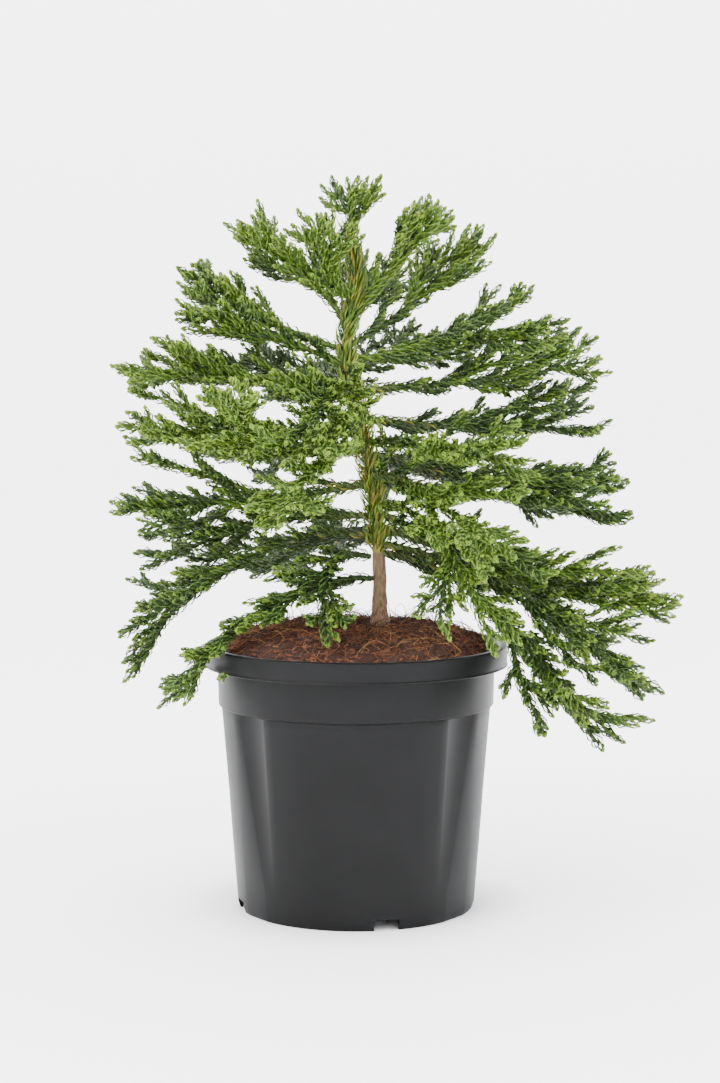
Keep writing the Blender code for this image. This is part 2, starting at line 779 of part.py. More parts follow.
def make_soil(finish):
    """Potting soil inside the pot, with a lumpy mound of mulch on top."""
    inset = WALL + GAP
    floor = BASE_PLATE_UNDERSIDE + BASE_PLATE + GAP
    profile = [
        (0.0, BASE_PLATE + GAP, False),
        (PAD_RADIUS - GAP, BASE_PLATE + GAP, False),
        (PAD_RADIUS + PAD_SLOPE - GAP, floor, False),
        (body_radius(floor) - inset - GAP, floor, False),
    ]
    profile += [(body_radius(z) - inset, z, True) for z in WALL_HEIGHTS]
    profile += [
        (COLLAR_RADIUS - COLLAR_DRAFT - inset, COLLAR_LOWER_EDGE, False),
        (COLLAR_RADIUS - inset, RIM_LOWER_EDGE - INSIDE_STEP, False),
    ]
    first_mulch_ring = len(profile)
    profile += [(radius, height, False) for radius, height in reversed(MULCH_PROFILE)]
    profile += [
        (MOUND_FLAT_RADIUS, MOUND_HEIGHT, False),
        (0.0, MOUND_HEIGHT, False),
    ]
    columns = pot_columns()
    vertices, faces = turned(profile, columns)
    rng = random.Random("mulch")
    count = len(columns)
    lumpy_rings = len(MULCH_PROFILE) - 1
    first = 1 + first_mulch_ring * count
    for i in range(first, first + lumpy_rings * count):
        x, y, z = vertices[i]
        vertices[i] = (x, y, z + rng.uniform(-MULCH_LUMP, MULCH_LUMP))
    return mesh_object("soil", vertices, faces, finish, sharp=40)


def main():
    for old in list(bpy.data.objects):
        bpy.data.objects.remove(old)
    bark = material("bark", (0.16, 0.09, 0.05), 0.85)
    green_bark = material("green_bark", (0.13, 0.15, 0.04), 0.8)
    foliage = material("foliage", (0.07, 0.17, 0.025), 0.6)
    make_pot(material("pot_plastic", (0.03, 0.032, 0.035), 0.42))
    make_soil(material("coir_mulch", (0.12, 0.05, 0.025), 0.95))
    make_trunk(bark)

    taken = Occupied()
    heights = np.linspace(TRUNK_FOOT, TRUNK_TIP, TRUNK_RINGS)
    for low, high in zip(heights, heights[1:]):
        taken.add([trunk_point(low), trunk_point(high)], trunk_radius(low) + GAP, TRUNK_OWNER)
    stems = [limb_curve(limb) for limb in LIMBS]
    starts = []
    for number, (limb, stem) in enumerate(zip(LIMBS, stems)):
        start = 0.0
        if limb.reach >= BOUGH_FROM_REACH:
            make_bough(limb, stem, green_bark)
            start = BOUGH_SHARE + BOUGH_GAP / stem.length()
            taken.add(stem.stretch(0.0, BOUGH_SHARE, STEM_STEPS), BOUGH_RADIUS + SHOOT_CLEARANCE, number)
        taken.add(stem.stretch(start, 1.0, STEM_STEPS), NEEDLE_RADIUS + SHOOT_CLEARANCE, number)
        starts.append(start)
    kept = choose_shoots(stems, taken)
    for limb, stem, start, shoots in zip(LIMBS, stems, starts, kept):
        make_spray(limb, stem, start, shoots, foliage)


main()
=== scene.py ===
"""Looks of a young spiral Japanese cedar in its black nursery pot.

Metres, +Z up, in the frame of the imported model: the origin is the middle of the
pot's underside, and -Y is the front. The limbs, arms and side shoots grow by
the same seeded rule as the solids and are carried to finer shoots, each a
stem clothed with needles that wind round it one way.
"""

import math
import random
from typing import NamedTuple

import bmesh
import bpy
import numpy as np
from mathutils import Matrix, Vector, noise


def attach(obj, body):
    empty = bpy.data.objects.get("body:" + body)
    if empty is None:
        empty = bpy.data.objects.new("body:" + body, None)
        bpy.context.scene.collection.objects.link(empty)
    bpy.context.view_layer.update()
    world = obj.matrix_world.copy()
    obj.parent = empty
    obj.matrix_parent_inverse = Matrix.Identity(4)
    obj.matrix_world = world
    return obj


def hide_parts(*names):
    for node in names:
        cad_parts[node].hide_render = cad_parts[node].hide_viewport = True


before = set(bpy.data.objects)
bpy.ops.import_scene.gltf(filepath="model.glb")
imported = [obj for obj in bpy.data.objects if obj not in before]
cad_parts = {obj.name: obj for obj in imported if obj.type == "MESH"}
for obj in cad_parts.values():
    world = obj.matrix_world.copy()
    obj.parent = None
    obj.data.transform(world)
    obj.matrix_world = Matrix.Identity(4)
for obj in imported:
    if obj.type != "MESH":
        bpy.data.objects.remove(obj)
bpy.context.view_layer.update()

GAP = 0.0003

# Camera: the picture's size in pixels, and where its lens stood
PICTURE_WIDTH = 720
PICTURE_HEIGHT = 1083
FOCAL_LENGTH = 79.8
SENSOR = 36.0
CAMERA_PLACE = (0.0033, -2.01, 0.487)
CAMERA_TILT = 5.06

# Pot
POT_HEIGHT = 0.2235
RIM_RADIUS = 0.128
RIM_LOWER_EDGE = 0.206
COLLAR_RADIUS = 0.1168
COLLAR_LOWER_EDGE = 0.1735
BODY_TOP_RADIUS = 0.1135
FOOT_RADIUS = 0.099
FOOT_HEIGHT = 0.005
FOOT_STEP = 0.0009
WALL = 0.0018
BASE_PLATE_UNDERSIDE = 0.010
BASE_PLATE = 0.002
PAD_RADIUS = 0.030
PAD_SLOPE = 0.006
SKIRT = 0.0025
SKIRT_SLOPE = 0.0015
RIM_FLAT_INNER = 0.0060
RIM_SLOPE = 0.0025
RIM_SLOPE_HEIGHT = 0.0030
COLLAR_DRAFT = 0.0008
INSIDE_STEP = 0.004
FLUTE_STARTS = (40.5, 79.5, 120.5)
FLUTE_WIDTH = 19.0
FLUTE_POINT_WIDTH = 7.0
FLUTE_DEPTH = 0.0042
FLUTE_TOP = 0.171
FLUTE_FOOT = 0.025
NOTCH_COUNT = 4
NOTCH_BEARING = -75.3
NOTCH_WIDTH = 0.021
NOTCH_HEIGHT = 0.009
NOTCH_DEPTH = 0.014
DRAIN_RADIUS = 0.006
DRAIN_CIRCLE = 0.072

# Mulch mound
MOUND_HEIGHT = 0.238
MOUND_FLAT_RADIUS = 0.046
MULCH_PROFILE = ((0.066, 0.237), (0.086, 0.234), (0.104, 0.228), (0.1158, 0.2195))
MULCH_LUMP = 0.0022

# Trunk
TRUNK_FOOT = MOUND_HEIGHT + GAP
TRUNK_LEAN = (
    (TRUNK_FOOT, 0.020),
    (0.290, 0.0195),
    (0.344, 0.016),
    (0.407, 0.004),
    (0.474, -0.008),
    (0.525, 0.001),
    (0.562, -0.005),
)
TRUNK_TIP = 0.562
TRUNK_WANDER = 0.003
TRUNK_BASE_RADIUS = 0.0063
TRUNK_TIP_RADIUS = 0.0019
TRUNK_TAPER_POWER = 1.15
FLARE = 0.0030
FLARE_HEIGHT = 0.009

# Boughs and shoots
LIMB_HANDLE = 0.36
BOUGH_FROM_REACH = 0.201
BOUGH_SHARE = 0.27
BOUGH_GAP = 1.3 * GAP
BOUGH_RADIUS = 0.0030
BOUGH_TIP_RADIUS = 0.0024
NEEDLE_RADIUS = 0.0048
SHOOT_CLEARANCE = 0.0006
SPRAY_HALF_WIDTH = 0.075
STEM_STEPS = 12
SHOOT_STEPS = 5
TRUNK_RINGS = 17
TRUNK_OWNER = -1
CROWN_LEFT = -0.209
CROWN_RIGHT = 0.274
CROWN_TOP = 0.614

# Arms: the long side shoots that fan out from a spray's stem
SHORT_LIMB = 0.1
FIRST_ARM = 0.36
FIRST_ARM_ON_SHORT_LIMB = 0.14
LAST_ARM = 0.92
ARM_JITTER = 0.05
ARM_ANGLE = 40
ARM_ANGLE_ON_SHORT_LIMB = 47
ARM_ANGLE_VARIES = 6
ARM_ROLL = 48
ARM_LENGTH = (0.62, 0.86)
ARM_LEAST = 0.012
ARM_UPTURN = (-0.05, 0.2)
DROOPING_HOOK = -20
DROOPING_UPTURN = (-0.15, 0.1)
BEND = 0.45

# Side shoots: the short ones in the outer half of a stem or an arm
SHORT_ARM = 0.045
SUB_FROM_ON_ARM = 0.5
SUB_FROM_ON_STEM = 0.62
SUB_TO = 0.93
SUB_STEP = (0.011, 0.017)
SUB_ANGLE = (38, 52)
SUB_ROLL = (-20, 50)
SUB_LENGTH = 0.034
SUB_LENGTH_LOSS = 0.014
SUB_LENGTH_VARIES = (0.75, 1.15)
SUB_UPTURN = (0.1, 0.4)

# Spurs: the finer shoots further in, which only the looks have
SPUR_FROM_ON_ARM = 0.08
SPUR_FROM_ON_STEM = 0.07
SPUR_STEP = (0.010, 0.016)
SPUR_ANGLE = (24, 42)
SPUR_ROLL = (-50, 75)
SPUR_LENGTH = (0.024, 0.056)
SPUR_UPTURN = (0.0, 0.5)
FINE_SPACING = 0.0019

# Fingers: the pair that makes a little hand of a side shoot or a spur
FINGER_PARENT = 0.024
FINGER_SHARES = (0.34, 0.58)
FINGER_ANGLE = (30, 44)
FINGER_ROLL = (-35, 50)
FINGER_LENGTH = (0.50, 0.72)
FINGER_UPTURN = (0.0, 0.3)


class Limb(NamedTuple):
    """One limb of the tree: a bough, where it is long, and its spray."""

    name: str
    height: float  # of its root on the trunk
    bearing: float  # degrees from +X seen from above; 270 is the front
    reach: float  # level distance from the trunk to its tip
    tip: float  # height of its tip
    rise: float  # degrees of pitch where it leaves the trunk
    hook: float  # degrees of pitch at its tip
    sweep: float = 0.0  # degrees that its start is turned from its bearing
    arms: int = 4  # long side shoots that fan out from its stem


LIMBS = (
    Limb("leader", 0.562, 55, 0.012, 0.6126, 88, 78, 0, 4),
    Limb("top_front", 0.511, 233, 0.063, 0.577, 25, 60, 0, 3),
    Limb("top_left", 0.496, 174, 0.095, 0.563, 50, 5, 0, 5),
    Limb("top_right", 0.501, 345, 0.081, 0.576, 50, 30, 0, 4),
    Limb("high_left", 0.471, 167, 0.134, 0.541, 10, 35, 0, 5),
    Limb("high_left_low", 0.457, 192, 0.144, 0.500, 25, 5, 0, 4),
    Limb("high_right", 0.474, 29, 0.124, 0.560, 25, 45, 0, 4),
    Limb("high_right_low", 0.460, 356, 0.166, 0.487, 15, 5, 0, 5),
    Limb("back_high", 0.480, 85, 0.120, 0.540, 25, 30, 0, 4),
    Limb("back_left_high", 0.446, 143, 0.181, 0.469, 0, 15, 0, 3),
    Limb("back_right_high", 0.450, 58, 0.170, 0.480, 15, 10, 0, 4),
    Limb("front_high", 0.436, 258, 0.160, 0.408, 15, -15, 0, 4),
    Limb("right_upper", 0.435, 14, 0.210, 0.461, 5, 15, 0, 5),
    Limb("right_back", 0.411, 26, 0.227, 0.419, -4, 20, 8, 4),
    Limb("right_mid", 0.382, 18, 0.226, 0.371, -20, 15, 0, 5),
    Limb("right_mid_low", 0.361, 8, 0.211, 0.325, -10, -15, 0, 4),
    Limb("right_low", 0.331, 7, 0.238, 0.280, -25, 25, 0, 4),
    Limb("right_far", 0.320, 358, 0.255, 0.263, -18, 15, 0, 5),
    Limb("right_low_front", 0.306, 343, 0.242, 0.191, -7, -30, -4, 5),
    Limb("right_droop", 0.299, 327, 0.212, 0.152, -3, -50, 0, 5),
    Limb("front_right_high", 0.394, 311, 0.171, 0.398, 0, 10, 0, 4),
    Limb("front_right_mid", 0.366, 297, 0.202, 0.326, 5, -10, 0, 4),
    Limb("front_right_low", 0.340, 302, 0.176, 0.233, 10, -55, 0, 3),
    Limb("front_left", 0.412, 238, 0.201, 0.440, -8, 42, 0, 4),
    Limb("front_mid", 0.386, 252, 0.210, 0.339, 10, -35, 0, 4),
    Limb("front_low", 0.296, 250, 0.122, 0.236, 14, -42, -62, 2),
    Limb("left_high", 0.425, 183, 0.199, 0.456, 25, 10, 0, 5),
    Limb("left_mid", 0.400, 196, 0.207, 0.408, 0, 5, 0, 5),
    Limb("left_mid_low", 0.358, 175, 0.222, 0.341, -12, 3, 0, 5),
    Limb("left_low", 0.330, 164, 0.212, 0.280, 3, -25, 0, 4),
    Limb("left_droop", 0.314, 179, 0.214, 0.206, 6, -50, 0, 4),
    Limb("left_droop_front", 0.278, 207, 0.188, 0.195, 4, -46, 0, 4),
    Limb("back_mid", 0.425, 105, 0.200, 0.440, 10, 5, 0, 4),
    Limb("back_left_mid", 0.385, 130, 0.210, 0.370, 0, -5, 0, 4),
    Limb("back_right_mid", 0.370, 70, 0.215, 0.350, 5, -10, 0, 4),
    Limb("back_right_low", 0.315, 48, 0.230, 0.235, 0, -30, 0, 4),
    Limb("back_left_low", 0.310, 118, 0.215, 0.265, 0, -25, 0, 4),
)

# How bright a limb's foliage is beside the others', from -1 to 1: partly the limb's own tone and partly painted
# light and shade, higher for front and top limbs that face the lamps and lower for back limbs in shade
LIMB_TONE_AND_PAINTED_LIGHT = {
    "leader": 0.5,
    "top_front": 0.5,
    "top_left": 0.3,
    "top_right": 0.3,
    "high_left_low": 0.1,
    "high_right_low": -0.2,
    "back_high": -0.3,
    "back_left_high": -0.8,
    "back_right_high": -0.4,
    "front_high": 0.4,
    "right_back": -0.6,
    "right_mid": -0.5,
    "right_mid_low": -0.5,
    "right_low": -0.1,
    "right_far": 0.3,
    "right_low_front": -0.1,
    "right_droop": -0.1,
    "front_right_high": 0.5,
    "front_right_mid": 0.6,
    "front_right_low": 0.5,
    "front_left": 0.8,
    "front_mid": 0.6,
    "front_low": 0.2,
    "left_high": 0.4,
    "left_mid": 0.4,
    "left_mid_low": -0.2,
    "left_low": -0.3,
    "left_droop": -0.2,
    "left_droop_front": 0.1,
    "back_mid": -0.4,
    "back_left_mid": -0.4,
    "back_right_mid": -0.4,
    "back_right_low": -0.6,
    "back_left_low": -0.6,
}


class Curve:
    """A Bezier curve through space, read by its share from 0 to 1."""

    def __init__(self, *controls):
        self.controls = [Vector(c) for c in controls]

    def at(self, share):
        points = self.controls
        while len(points) > 1:
            points = [a.lerp(b, share) for a, b in zip(points, points[1:])]
        return points[0]

    def heading(self, share):
        step = 0.01
        low = max(0.0, share - step)
        high = min(1.0, share + step)
        return (self.at(high) - self.at(low)).normalized()

    def length(self, steps=16):
        points = [self.at(i / steps) for i in range(steps + 1)]
        return sum((b - a).length for a, b in zip(points, points[1:]))

    def stretch(self, low, high, count):
        """Even points from one share to another."""
        return [self.at(low + (high - low) * i / count) for i in range(count + 1)]


class Shoot(NamedTuple):
    """One shoot of a spray: its centre line and its order from the stem."""

    curve: Curve
    length: float
    order: int


def direction(bearing, pitch):
    """Unit vector for a bearing and a pitch, both in degrees."""
    level = math.cos(math.radians(pitch))
    turn = math.radians(bearing)
    return Vector((level * math.cos(turn), level * math.sin(turn), math.sin(math.radians(pitch))))


def trunk_radius(height):
    share = (height - TRUNK_FOOT) / (TRUNK_TIP - TRUNK_FOOT)
    taper = (1.0 - min(1.0, max(0.0, share))) ** TRUNK_TAPER_POWER
    flare = FLARE * math.exp(-(height - TRUNK_FOOT) / FLARE_HEIGHT)
    return TRUNK_TIP_RADIUS + (TRUNK_BASE_RADIUS - TRUNK_TIP_RADIUS) * taper + flare


def trunk_point(height):
    """Centre of the trunk at a height, by a smooth curve through its lean."""
    knots = TRUNK_LEAN
    i = 0
    while i < len(knots) - 2 and height > knots[i + 1][0]:
        i += 1
    (z1, x1), (z2, x2) = knots[i], knots[i + 1]
    z0, x0 = knots[max(0, i - 1)]
    z3, x3 = knots[min(len(knots) - 1, i + 2)]
    span = z2 - z1
    slope1 = (x2 - x0) / (z2 - z0) * span
    slope2 = (x3 - x1) / (z3 - z1) * span
    s = (height - z1) / span
    x = (
        x1 * (2 * s**3 - 3 * s**2 + 1)
        + slope1 * (s**3 - 2 * s**2 + s)
        + x2 * (3 * s**2 - 2 * s**3)
        + slope2 * (s**3 - s**2)
    )
    turns = (height - TRUNK_FOOT) / (TRUNK_TIP - TRUNK_FOOT)
    return Vector((x, TRUNK_WANDER * math.sin(3 * math.pi * turns), height))


def limb_curve(limb):
    """Centre line of a limb, from the trunk's surface to its tip."""
    centre = trunk_point(limb.height)
    start = direction(limb.bearing + limb.sweep, limb.rise)
    end = direction(limb.bearing - 0.5 * limb.sweep, limb.hook)
    tip = centre + limb.reach * direction(limb.bearing, 0.0)
    tip.z = limb.tip
    if limb.height >= TRUNK_TIP:
        root = centre + Vector((0, 0, GAP))
    else:
        lean = BOUGH_RADIUS * abs(math.sin(math.radians(limb.rise)))
        level = Vector((start.x, start.y, 0.0)).normalized()
        root = centre + level * (trunk_radius(limb.height) + lean + 2 * GAP)
    handle = LIMB_HANDLE * (tip - root).length
    return Curve(root, root + handle * start, tip - handle * end, tip)


def side_shoot(parent, share, across, angle, roll, length, upturn):
    """A shoot that leaves its parent sideways, bends forward and turns up."""
    root = parent.at(share)
    ahead = parent.heading(share)
    out = across - across.dot(ahead) * ahead
    out.normalize()
    over = ahead.cross(out)
    if over.z < 0:
        over = -over
    aside = math.cos(roll) * out + math.sin(roll) * over
    first = math.cos(angle) * ahead + math.sin(angle) * aside
    last = math.cos(BEND * angle) * ahead + math.sin(BEND * angle) * aside
    last = (last + upturn * Vector((0, 0, 1))).normalized()
    bend = root + 0.5 * length * first
    return Curve(root, bend, bend + 0.5 * length * last)


def grow_spray(limb, stem):
    """Shoots of a limb's spray, in order: its arms, then the shoots on them."""
    rng = random.Random("arms of " + limb.name)
    reach = stem.length()
    across = direction(limb.bearing + 90, 0)
    long = reach > SHORT_LIMB
    first_share = FIRST_ARM if long else FIRST_ARM_ON_SHORT_LIMB
    fan = ARM_ANGLE if long else ARM_ANGLE_ON_SHORT_LIMB
    upturns = DROOPING_UPTURN if limb.hook < DROOPING_HOOK else ARM_UPTURN
    side = rng.choice((-1, 1))
    arms = []
    for i in range(limb.arms):
        share = first_share + (LAST_ARM - first_share) * i / limb.arms + rng.uniform(0, ARM_JITTER)
        angle = math.radians(fan + rng.uniform(-ARM_ANGLE_VARIES, ARM_ANGLE_VARIES))
        roll = math.radians(rng.uniform(-ARM_ROLL, ARM_ROLL))
        length = (1.0 - share) * reach * rng.uniform(*ARM_LENGTH) + ARM_LEAST
        upturn = rng.uniform(*upturns)
        curve = side_shoot(stem, share, side * across, angle, roll, length, upturn)
        arms.append(Shoot(curve, length, 1))
        side = -side
    subs = []
    for carrier in [Shoot(stem, reach, 0)] + arms:
        subs += grow_sub_shoots(limb, carrier, len(subs), across)
    return arms, subs


def grow_sub_shoots(limb, carrier, start, across):
    """Short shoots in the outer half of a stem or arm, on alternate sides."""
    rng = random.Random(f"shoots {start} of {limb.name}")
    found = []
    side = rng.choice((-1, 1))
    share = SUB_FROM_ON_ARM if carrier.order else SUB_FROM_ON_STEM
    while share < SUB_TO:
        angle = math.radians(rng.uniform(*SUB_ANGLE))
        roll = math.radians(rng.uniform(*SUB_ROLL))
        length = (SUB_LENGTH - SUB_LENGTH_LOSS * share) * rng.uniform(*SUB_LENGTH_VARIES)
        length *= min(1.0, carrier.length / SHORT_ARM)
        upturn = rng.uniform(*SUB_UPTURN)
        curve = side_shoot(carrier.curve, share, side * across, angle, roll, length, upturn)
        found.append(Shoot(curve, length, 2))
        side = -side
        share += rng.uniform(*SUB_STEP) / carrier.length
    return found


def grow_spurs(limb, carrier, number, across):
    """Fine shoots along the inner part of a stem or arm, on all sides of it."""
    rng = random.Random(f"spurs {number} of {limb.name}")
    found = []
    side = rng.choice((-1, 1))
    share = SPUR_FROM_ON_ARM if carrier.order else SPUR_FROM_ON_STEM
    last = SUB_FROM_ON_ARM if carrier.order else SUB_FROM_ON_STEM
    while share < last:
        angle = math.radians(rng.uniform(*SPUR_ANGLE))
        roll = math.radians(rng.uniform(*SPUR_ROLL))
        length = rng.uniform(*SPUR_LENGTH) * min(1.0, carrier.length / SHORT_ARM)
        upturn = rng.uniform(*SPUR_UPTURN)
        curve = side_shoot(carrier.curve, share, side * across, angle, roll, length, upturn)
        found.append(Shoot(curve, length, 3))
        side = -side
        share += rng.uniform(*SPUR_STEP) / carrier.length
    return found


def grow_fingers(limb, carrier, number, across):
    """The two short shoots on a side shoot, one on each side of it."""
    if carrier.length < FINGER_PARENT:
        return []
    rng = random.Random(f"fingers {number} of {limb.name}")
    side = rng.choice((-1, 1))
    found = []
    for share in FINGER_SHARES:
        angle = math.radians(rng.uniform(*FINGER_ANGLE))
        roll = math.radians(rng.uniform(*FINGER_ROLL))
        length = (1.0 - share) * carrier.length * rng.uniform(*FINGER_LENGTH) + 0.004
        curve = side_shoot(carrier.curve, share, side * across, angle, roll, length, rng.uniform(*FINGER_UPTURN))
        found.append(Shoot(curve, length, 4))
        side = -side
    return found


class Occupied:
    """Stretches of limb and shoot that are taken, each with a radius and an owner."""

    def __init__(self):
        self.starts = np.zeros((0, 3))
        self.ends = np.zeros((0, 3))
        self.radii = np.zeros(0)
        self.owners = np.zeros(0, dtype=int)

    def add(self, points, radius, owner):
        joints = np.array([tuple(p) for p in points])
        self.starts = np.vstack((self.starts, joints[:-1]))
        self.ends = np.vstack((self.ends, joints[1:]))
        self.radii = np.append(self.radii, np.full(len(points) - 1, radius))
        self.owners = np.append(self.owners, np.full(len(points) - 1, owner))

    def is_free(self, points, radius, owner):
        others = self.owners != owner
        starts = self.starts[others]
        ends = self.ends[others]
        limits = self.radii[others] + radius
        for a, b in zip(points, points[1:]):
            if np.any(segment_distances(np.array(a), np.array(b), starts, ends) < limits):
                return False
        return True


class FineSpace:
    """Where fine shoots already are, as points in small cells, each with its owner."""

    def __init__(self, spacing):
        self.spacing = spacing
        self.cells = {}

    def cell(self, point):
        return tuple(math.floor(c / self.spacing) for c in point)

    def add(self, points, owner):
        for point in points:
            self.cells.setdefault(self.cell(point), []).append((point, owner))

    def is_free(self, points, owner):
        for point in points:
            x, y, z = self.cell(point)
            for i, j, k in NEIGHBOURS:
                for other, other_owner in self.cells.get((x + i, y + j, z + k), ()):
                    if other_owner != owner and (other - point).length < self.spacing:
                        return False
        return True


NEIGHBOURS = [(i, j, k) for i in (-1, 0, 1) for j in (-1, 0, 1) for k in (-1, 0, 1)]


def segment_distances(a, b, starts, ends, samples=5):
    """Least distance of one stretch from each of many, by samples along it."""
    best = np.full(len(starts), np.inf)
    spans = ends - starts
    squares = np.maximum(np.einsum("ij,ij->i", spans, spans), 1e-12)
    for k in range(samples):
        point = a + (b - a) * k / (samples - 1)
        shares = np.clip(np.einsum("ij,ij->i", point - starts, spans) / squares, 0, 1)
        nearest = starts + spans * shares[:, None]
        best = np.minimum(best, np.linalg.norm(point - nearest, axis=1))
    return best


def mulch_height(level):
    """Top of the mulch at a distance from the pot's axis."""
    knots = ((MOUND_FLAT_RADIUS, MOUND_HEIGHT),) + MULCH_PROFILE
    return float(np.interp(level, [r for r, _ in knots], [z for _, z in knots])) + MULCH_LUMP


def clear_of_pot(points, margin):
    """Whether a shoot keeps off the pot, the mulch and the ground."""
    for p in points:
        level = math.hypot(p.x, p.y)
        floor = 0.0
        if level < RIM_RADIUS + margin:
            floor = max(POT_HEIGHT, mulch_height(level))
        if p.z < floor + margin:
            return False
    return True


def keeps_to_space(points, stem):
    """Whether a shoot stays within the crown and near its spray's stem."""
    if points[-1].z > CROWN_TOP or not CROWN_LEFT < points[-1].x < CROWN_RIGHT:
        return False
    line = stem.stretch(0.0, 1.0, STEM_STEPS)
    starts = np.array([tuple(p) for p in line[:-1]])
    ends = np.array([tuple(p) for p in line[1:]])
    tip = np.array(points[-1])
    return segment_distances(tip, tip, starts, ends, 2).min() < SPRAY_HALF_WIDTH


def lay_out_crown():
    """Every limb's stem and its shoots: the arms that the solids have, then the finer ones."""
    taken = Occupied()
    heights = np.linspace(TRUNK_FOOT, TRUNK_TIP, TRUNK_RINGS)
    for low, high in zip(heights, heights[1:]):
        taken.add([trunk_point(low), trunk_point(high)], trunk_radius(low) + GAP, TRUNK_OWNER)
    stems = [limb_curve(limb) for limb in LIMBS]
    starts = []
    for number, (limb, stem) in enumerate(zip(LIMBS, stems)):
        start = 0.0
        if limb.reach >= BOUGH_FROM_REACH:
            start = BOUGH_SHARE + BOUGH_GAP / stem.length()
            taken.add(stem.stretch(0.0, BOUGH_SHARE, STEM_STEPS), BOUGH_RADIUS + SHOOT_CLEARANCE, number)
        taken.add(stem.stretch(start, 1.0, STEM_STEPS), NEEDLE_RADIUS + SHOOT_CLEARANCE, number)
        starts.append(start)
    grown = [grow_spray(limb, stem) for limb, stem in zip(LIMBS, stems)]
    kept = [[] for limb in LIMBS]
    for number, stem in enumerate(stems):
        for arm in grown[number][0]:
            points = arm.curve.stretch(0.0, 1.0, SHOOT_STEPS)
            margin = NEEDLE_RADIUS + SHOOT_CLEARANCE
            if (
                taken.is_free(points, NEEDLE_RADIUS, number)
                and clear_of_pot(points, margin)
                and keeps_to_space(points, stem)
            ):
                kept[number].append(arm)
                taken.add(points, margin, number)
    fine = FineSpace(2 * FINE_SPACING)
    fine.add([trunk_point(z) for z in np.arange(TRUNK_FOOT, TRUNK_TIP, FINE_SPACING)], TRUNK_OWNER)
    for number, stem in enumerate(stems):
        fine.add(fine_points(stem, stem.length()), number)
        for arm in kept[number]:
            fine.add(fine_points(arm.curve, arm.length), number)
    for number, (limb, stem) in enumerate(zip(LIMBS, stems)):
        carriers = [Shoot(stem, stem.length(), 0)] + kept[number]
        across = direction(limb.bearing + 90, 0)
        finer = list(grown[number][1])
        for count, carrier in enumerate(carriers):
            finer += grow_spurs(limb, carrier, count, across)
        for count, carrier in enumerate(list(finer)):
            finer += grow_fingers(limb, carrier, count, across)
        for shoot in finer:
            points = fine_points(shoot.curve, shoot.length)
            if (
                fine.is_free(points[1:], number)
                and clear_of_pot(points, NEEDLE_RADIUS)
                and keeps_to_space(points, stem)
            ):
                kept[number].append(shoot)
                fine.add(points[1:], number)
    return stems, starts, kept


def fine_points(curve, length):
    """Points of a shoot about as far apart as fine shoots have to keep."""
    return curve.stretch(0.0, 1.0, max(3, round(length / FINE_SPACING)))


# Foliage colours, from the darkest to the brightest, then the two special ones
DEEP, MID, FRESH, BRIGHT, TIP, BRONZE = range(6)
NEEDLE_COLOURS = {
    "needle_deep": (0.012, 0.028, 0.003),
    "needle_mid": (0.034, 0.072, 0.005),
    "needle_fresh": (0.076, 0.138, 0.007),
    "needle_bright": (0.125, 0.205, 0.010),
    "needle_tip": (0.165, 0.255, 0.014),
    "needle_bronze": (0.160, 0.145, 0.014),
}


class Clothing(NamedTuple):
    """How needles clothe a shoot. Lengths are in metres and angles in degrees."""

    length: float  # of a needle
    spread: float  # how far a needle stands off the stem
    twist: float  # how far a needle winds round the stem
    density: float  # needles per metre
    core: float  # radius of the stem


STEM_CLOTHING = Clothing(0.0112, 0.0031, 88, 760, 0.0023)
ARM_CLOTHING = Clothing(0.0104, 0.0028, 90, 720, 0.0020)
FINE_CLOTHING = Clothing(0.0092, 0.0022, 92, 640, 0.0017)
BOUGH_CLOTHING = Clothing(0.0125, 0.0030, 80, 1000, 0.0029)
TRUNK_CLOTHING = Clothing(0.0175, 0.0068, 30, 2600, 0.0038)

GOLDEN_TURN = math.radians(137.5)
NEEDLE_ALONG = (0.0, 0.52, 1.0)
NEEDLE_OUT = (0.0, 0.82, 1.08)
NEEDLE_HALF_WIDTH = (0.00080, 0.00102)
NEEDLE_RIDGE = (0.0009, 0.0011)
TIP_STRETCH = 0.012
ROOT_SUNK = 0.0004
TIP_CAP = 0.005
TIP_NEEDLES = 5
TIP_OVERHANG = 0.0026
TIP_DOME = 0.0080
NEEDLE_QUADS = ((0, 2, 5, 3), (2, 1, 4, 5), (1, 0, 3, 4))
NEEDLE_TRIANGLES = ((3, 5, 6), (5, 4, 6), (4, 3, 6), (0, 1, 2))
NEEDLE_POINTS = 7
NEEDLE_COST = 10
PIECE_LIMIT = 165_000
CORE_SIDES = 5


def unit(rows):
    return rows / np.maximum(np.linalg.norm(rows, axis=-1, keepdims=True), 1e-9)


def carried_frames(line):
    """Two square directions at each point of a line, carried along it without twist."""
    heads = unit(np.gradient(line, axis=0))
    across = np.empty_like(heads)
    guide = np.array((0.0, 0.0, 1.0)) if abs(heads[0][2]) < 0.9 else np.array((1.0, 0.0, 0.0))
    across[0] = unit(np.cross(heads[0], guide))
    for i in range(1, len(line)):
        across[i] = unit(across[i - 1] - heads[i] * np.dot(across[i - 1], heads[i]))
    return heads, across, np.cross(heads, across)


def read_line(line, marks, at):
    """Points of a line, or of its directions, at distances along it."""
    return np.stack([np.interp(at, marks, line[:, k]) for k in range(3)], axis=-1)


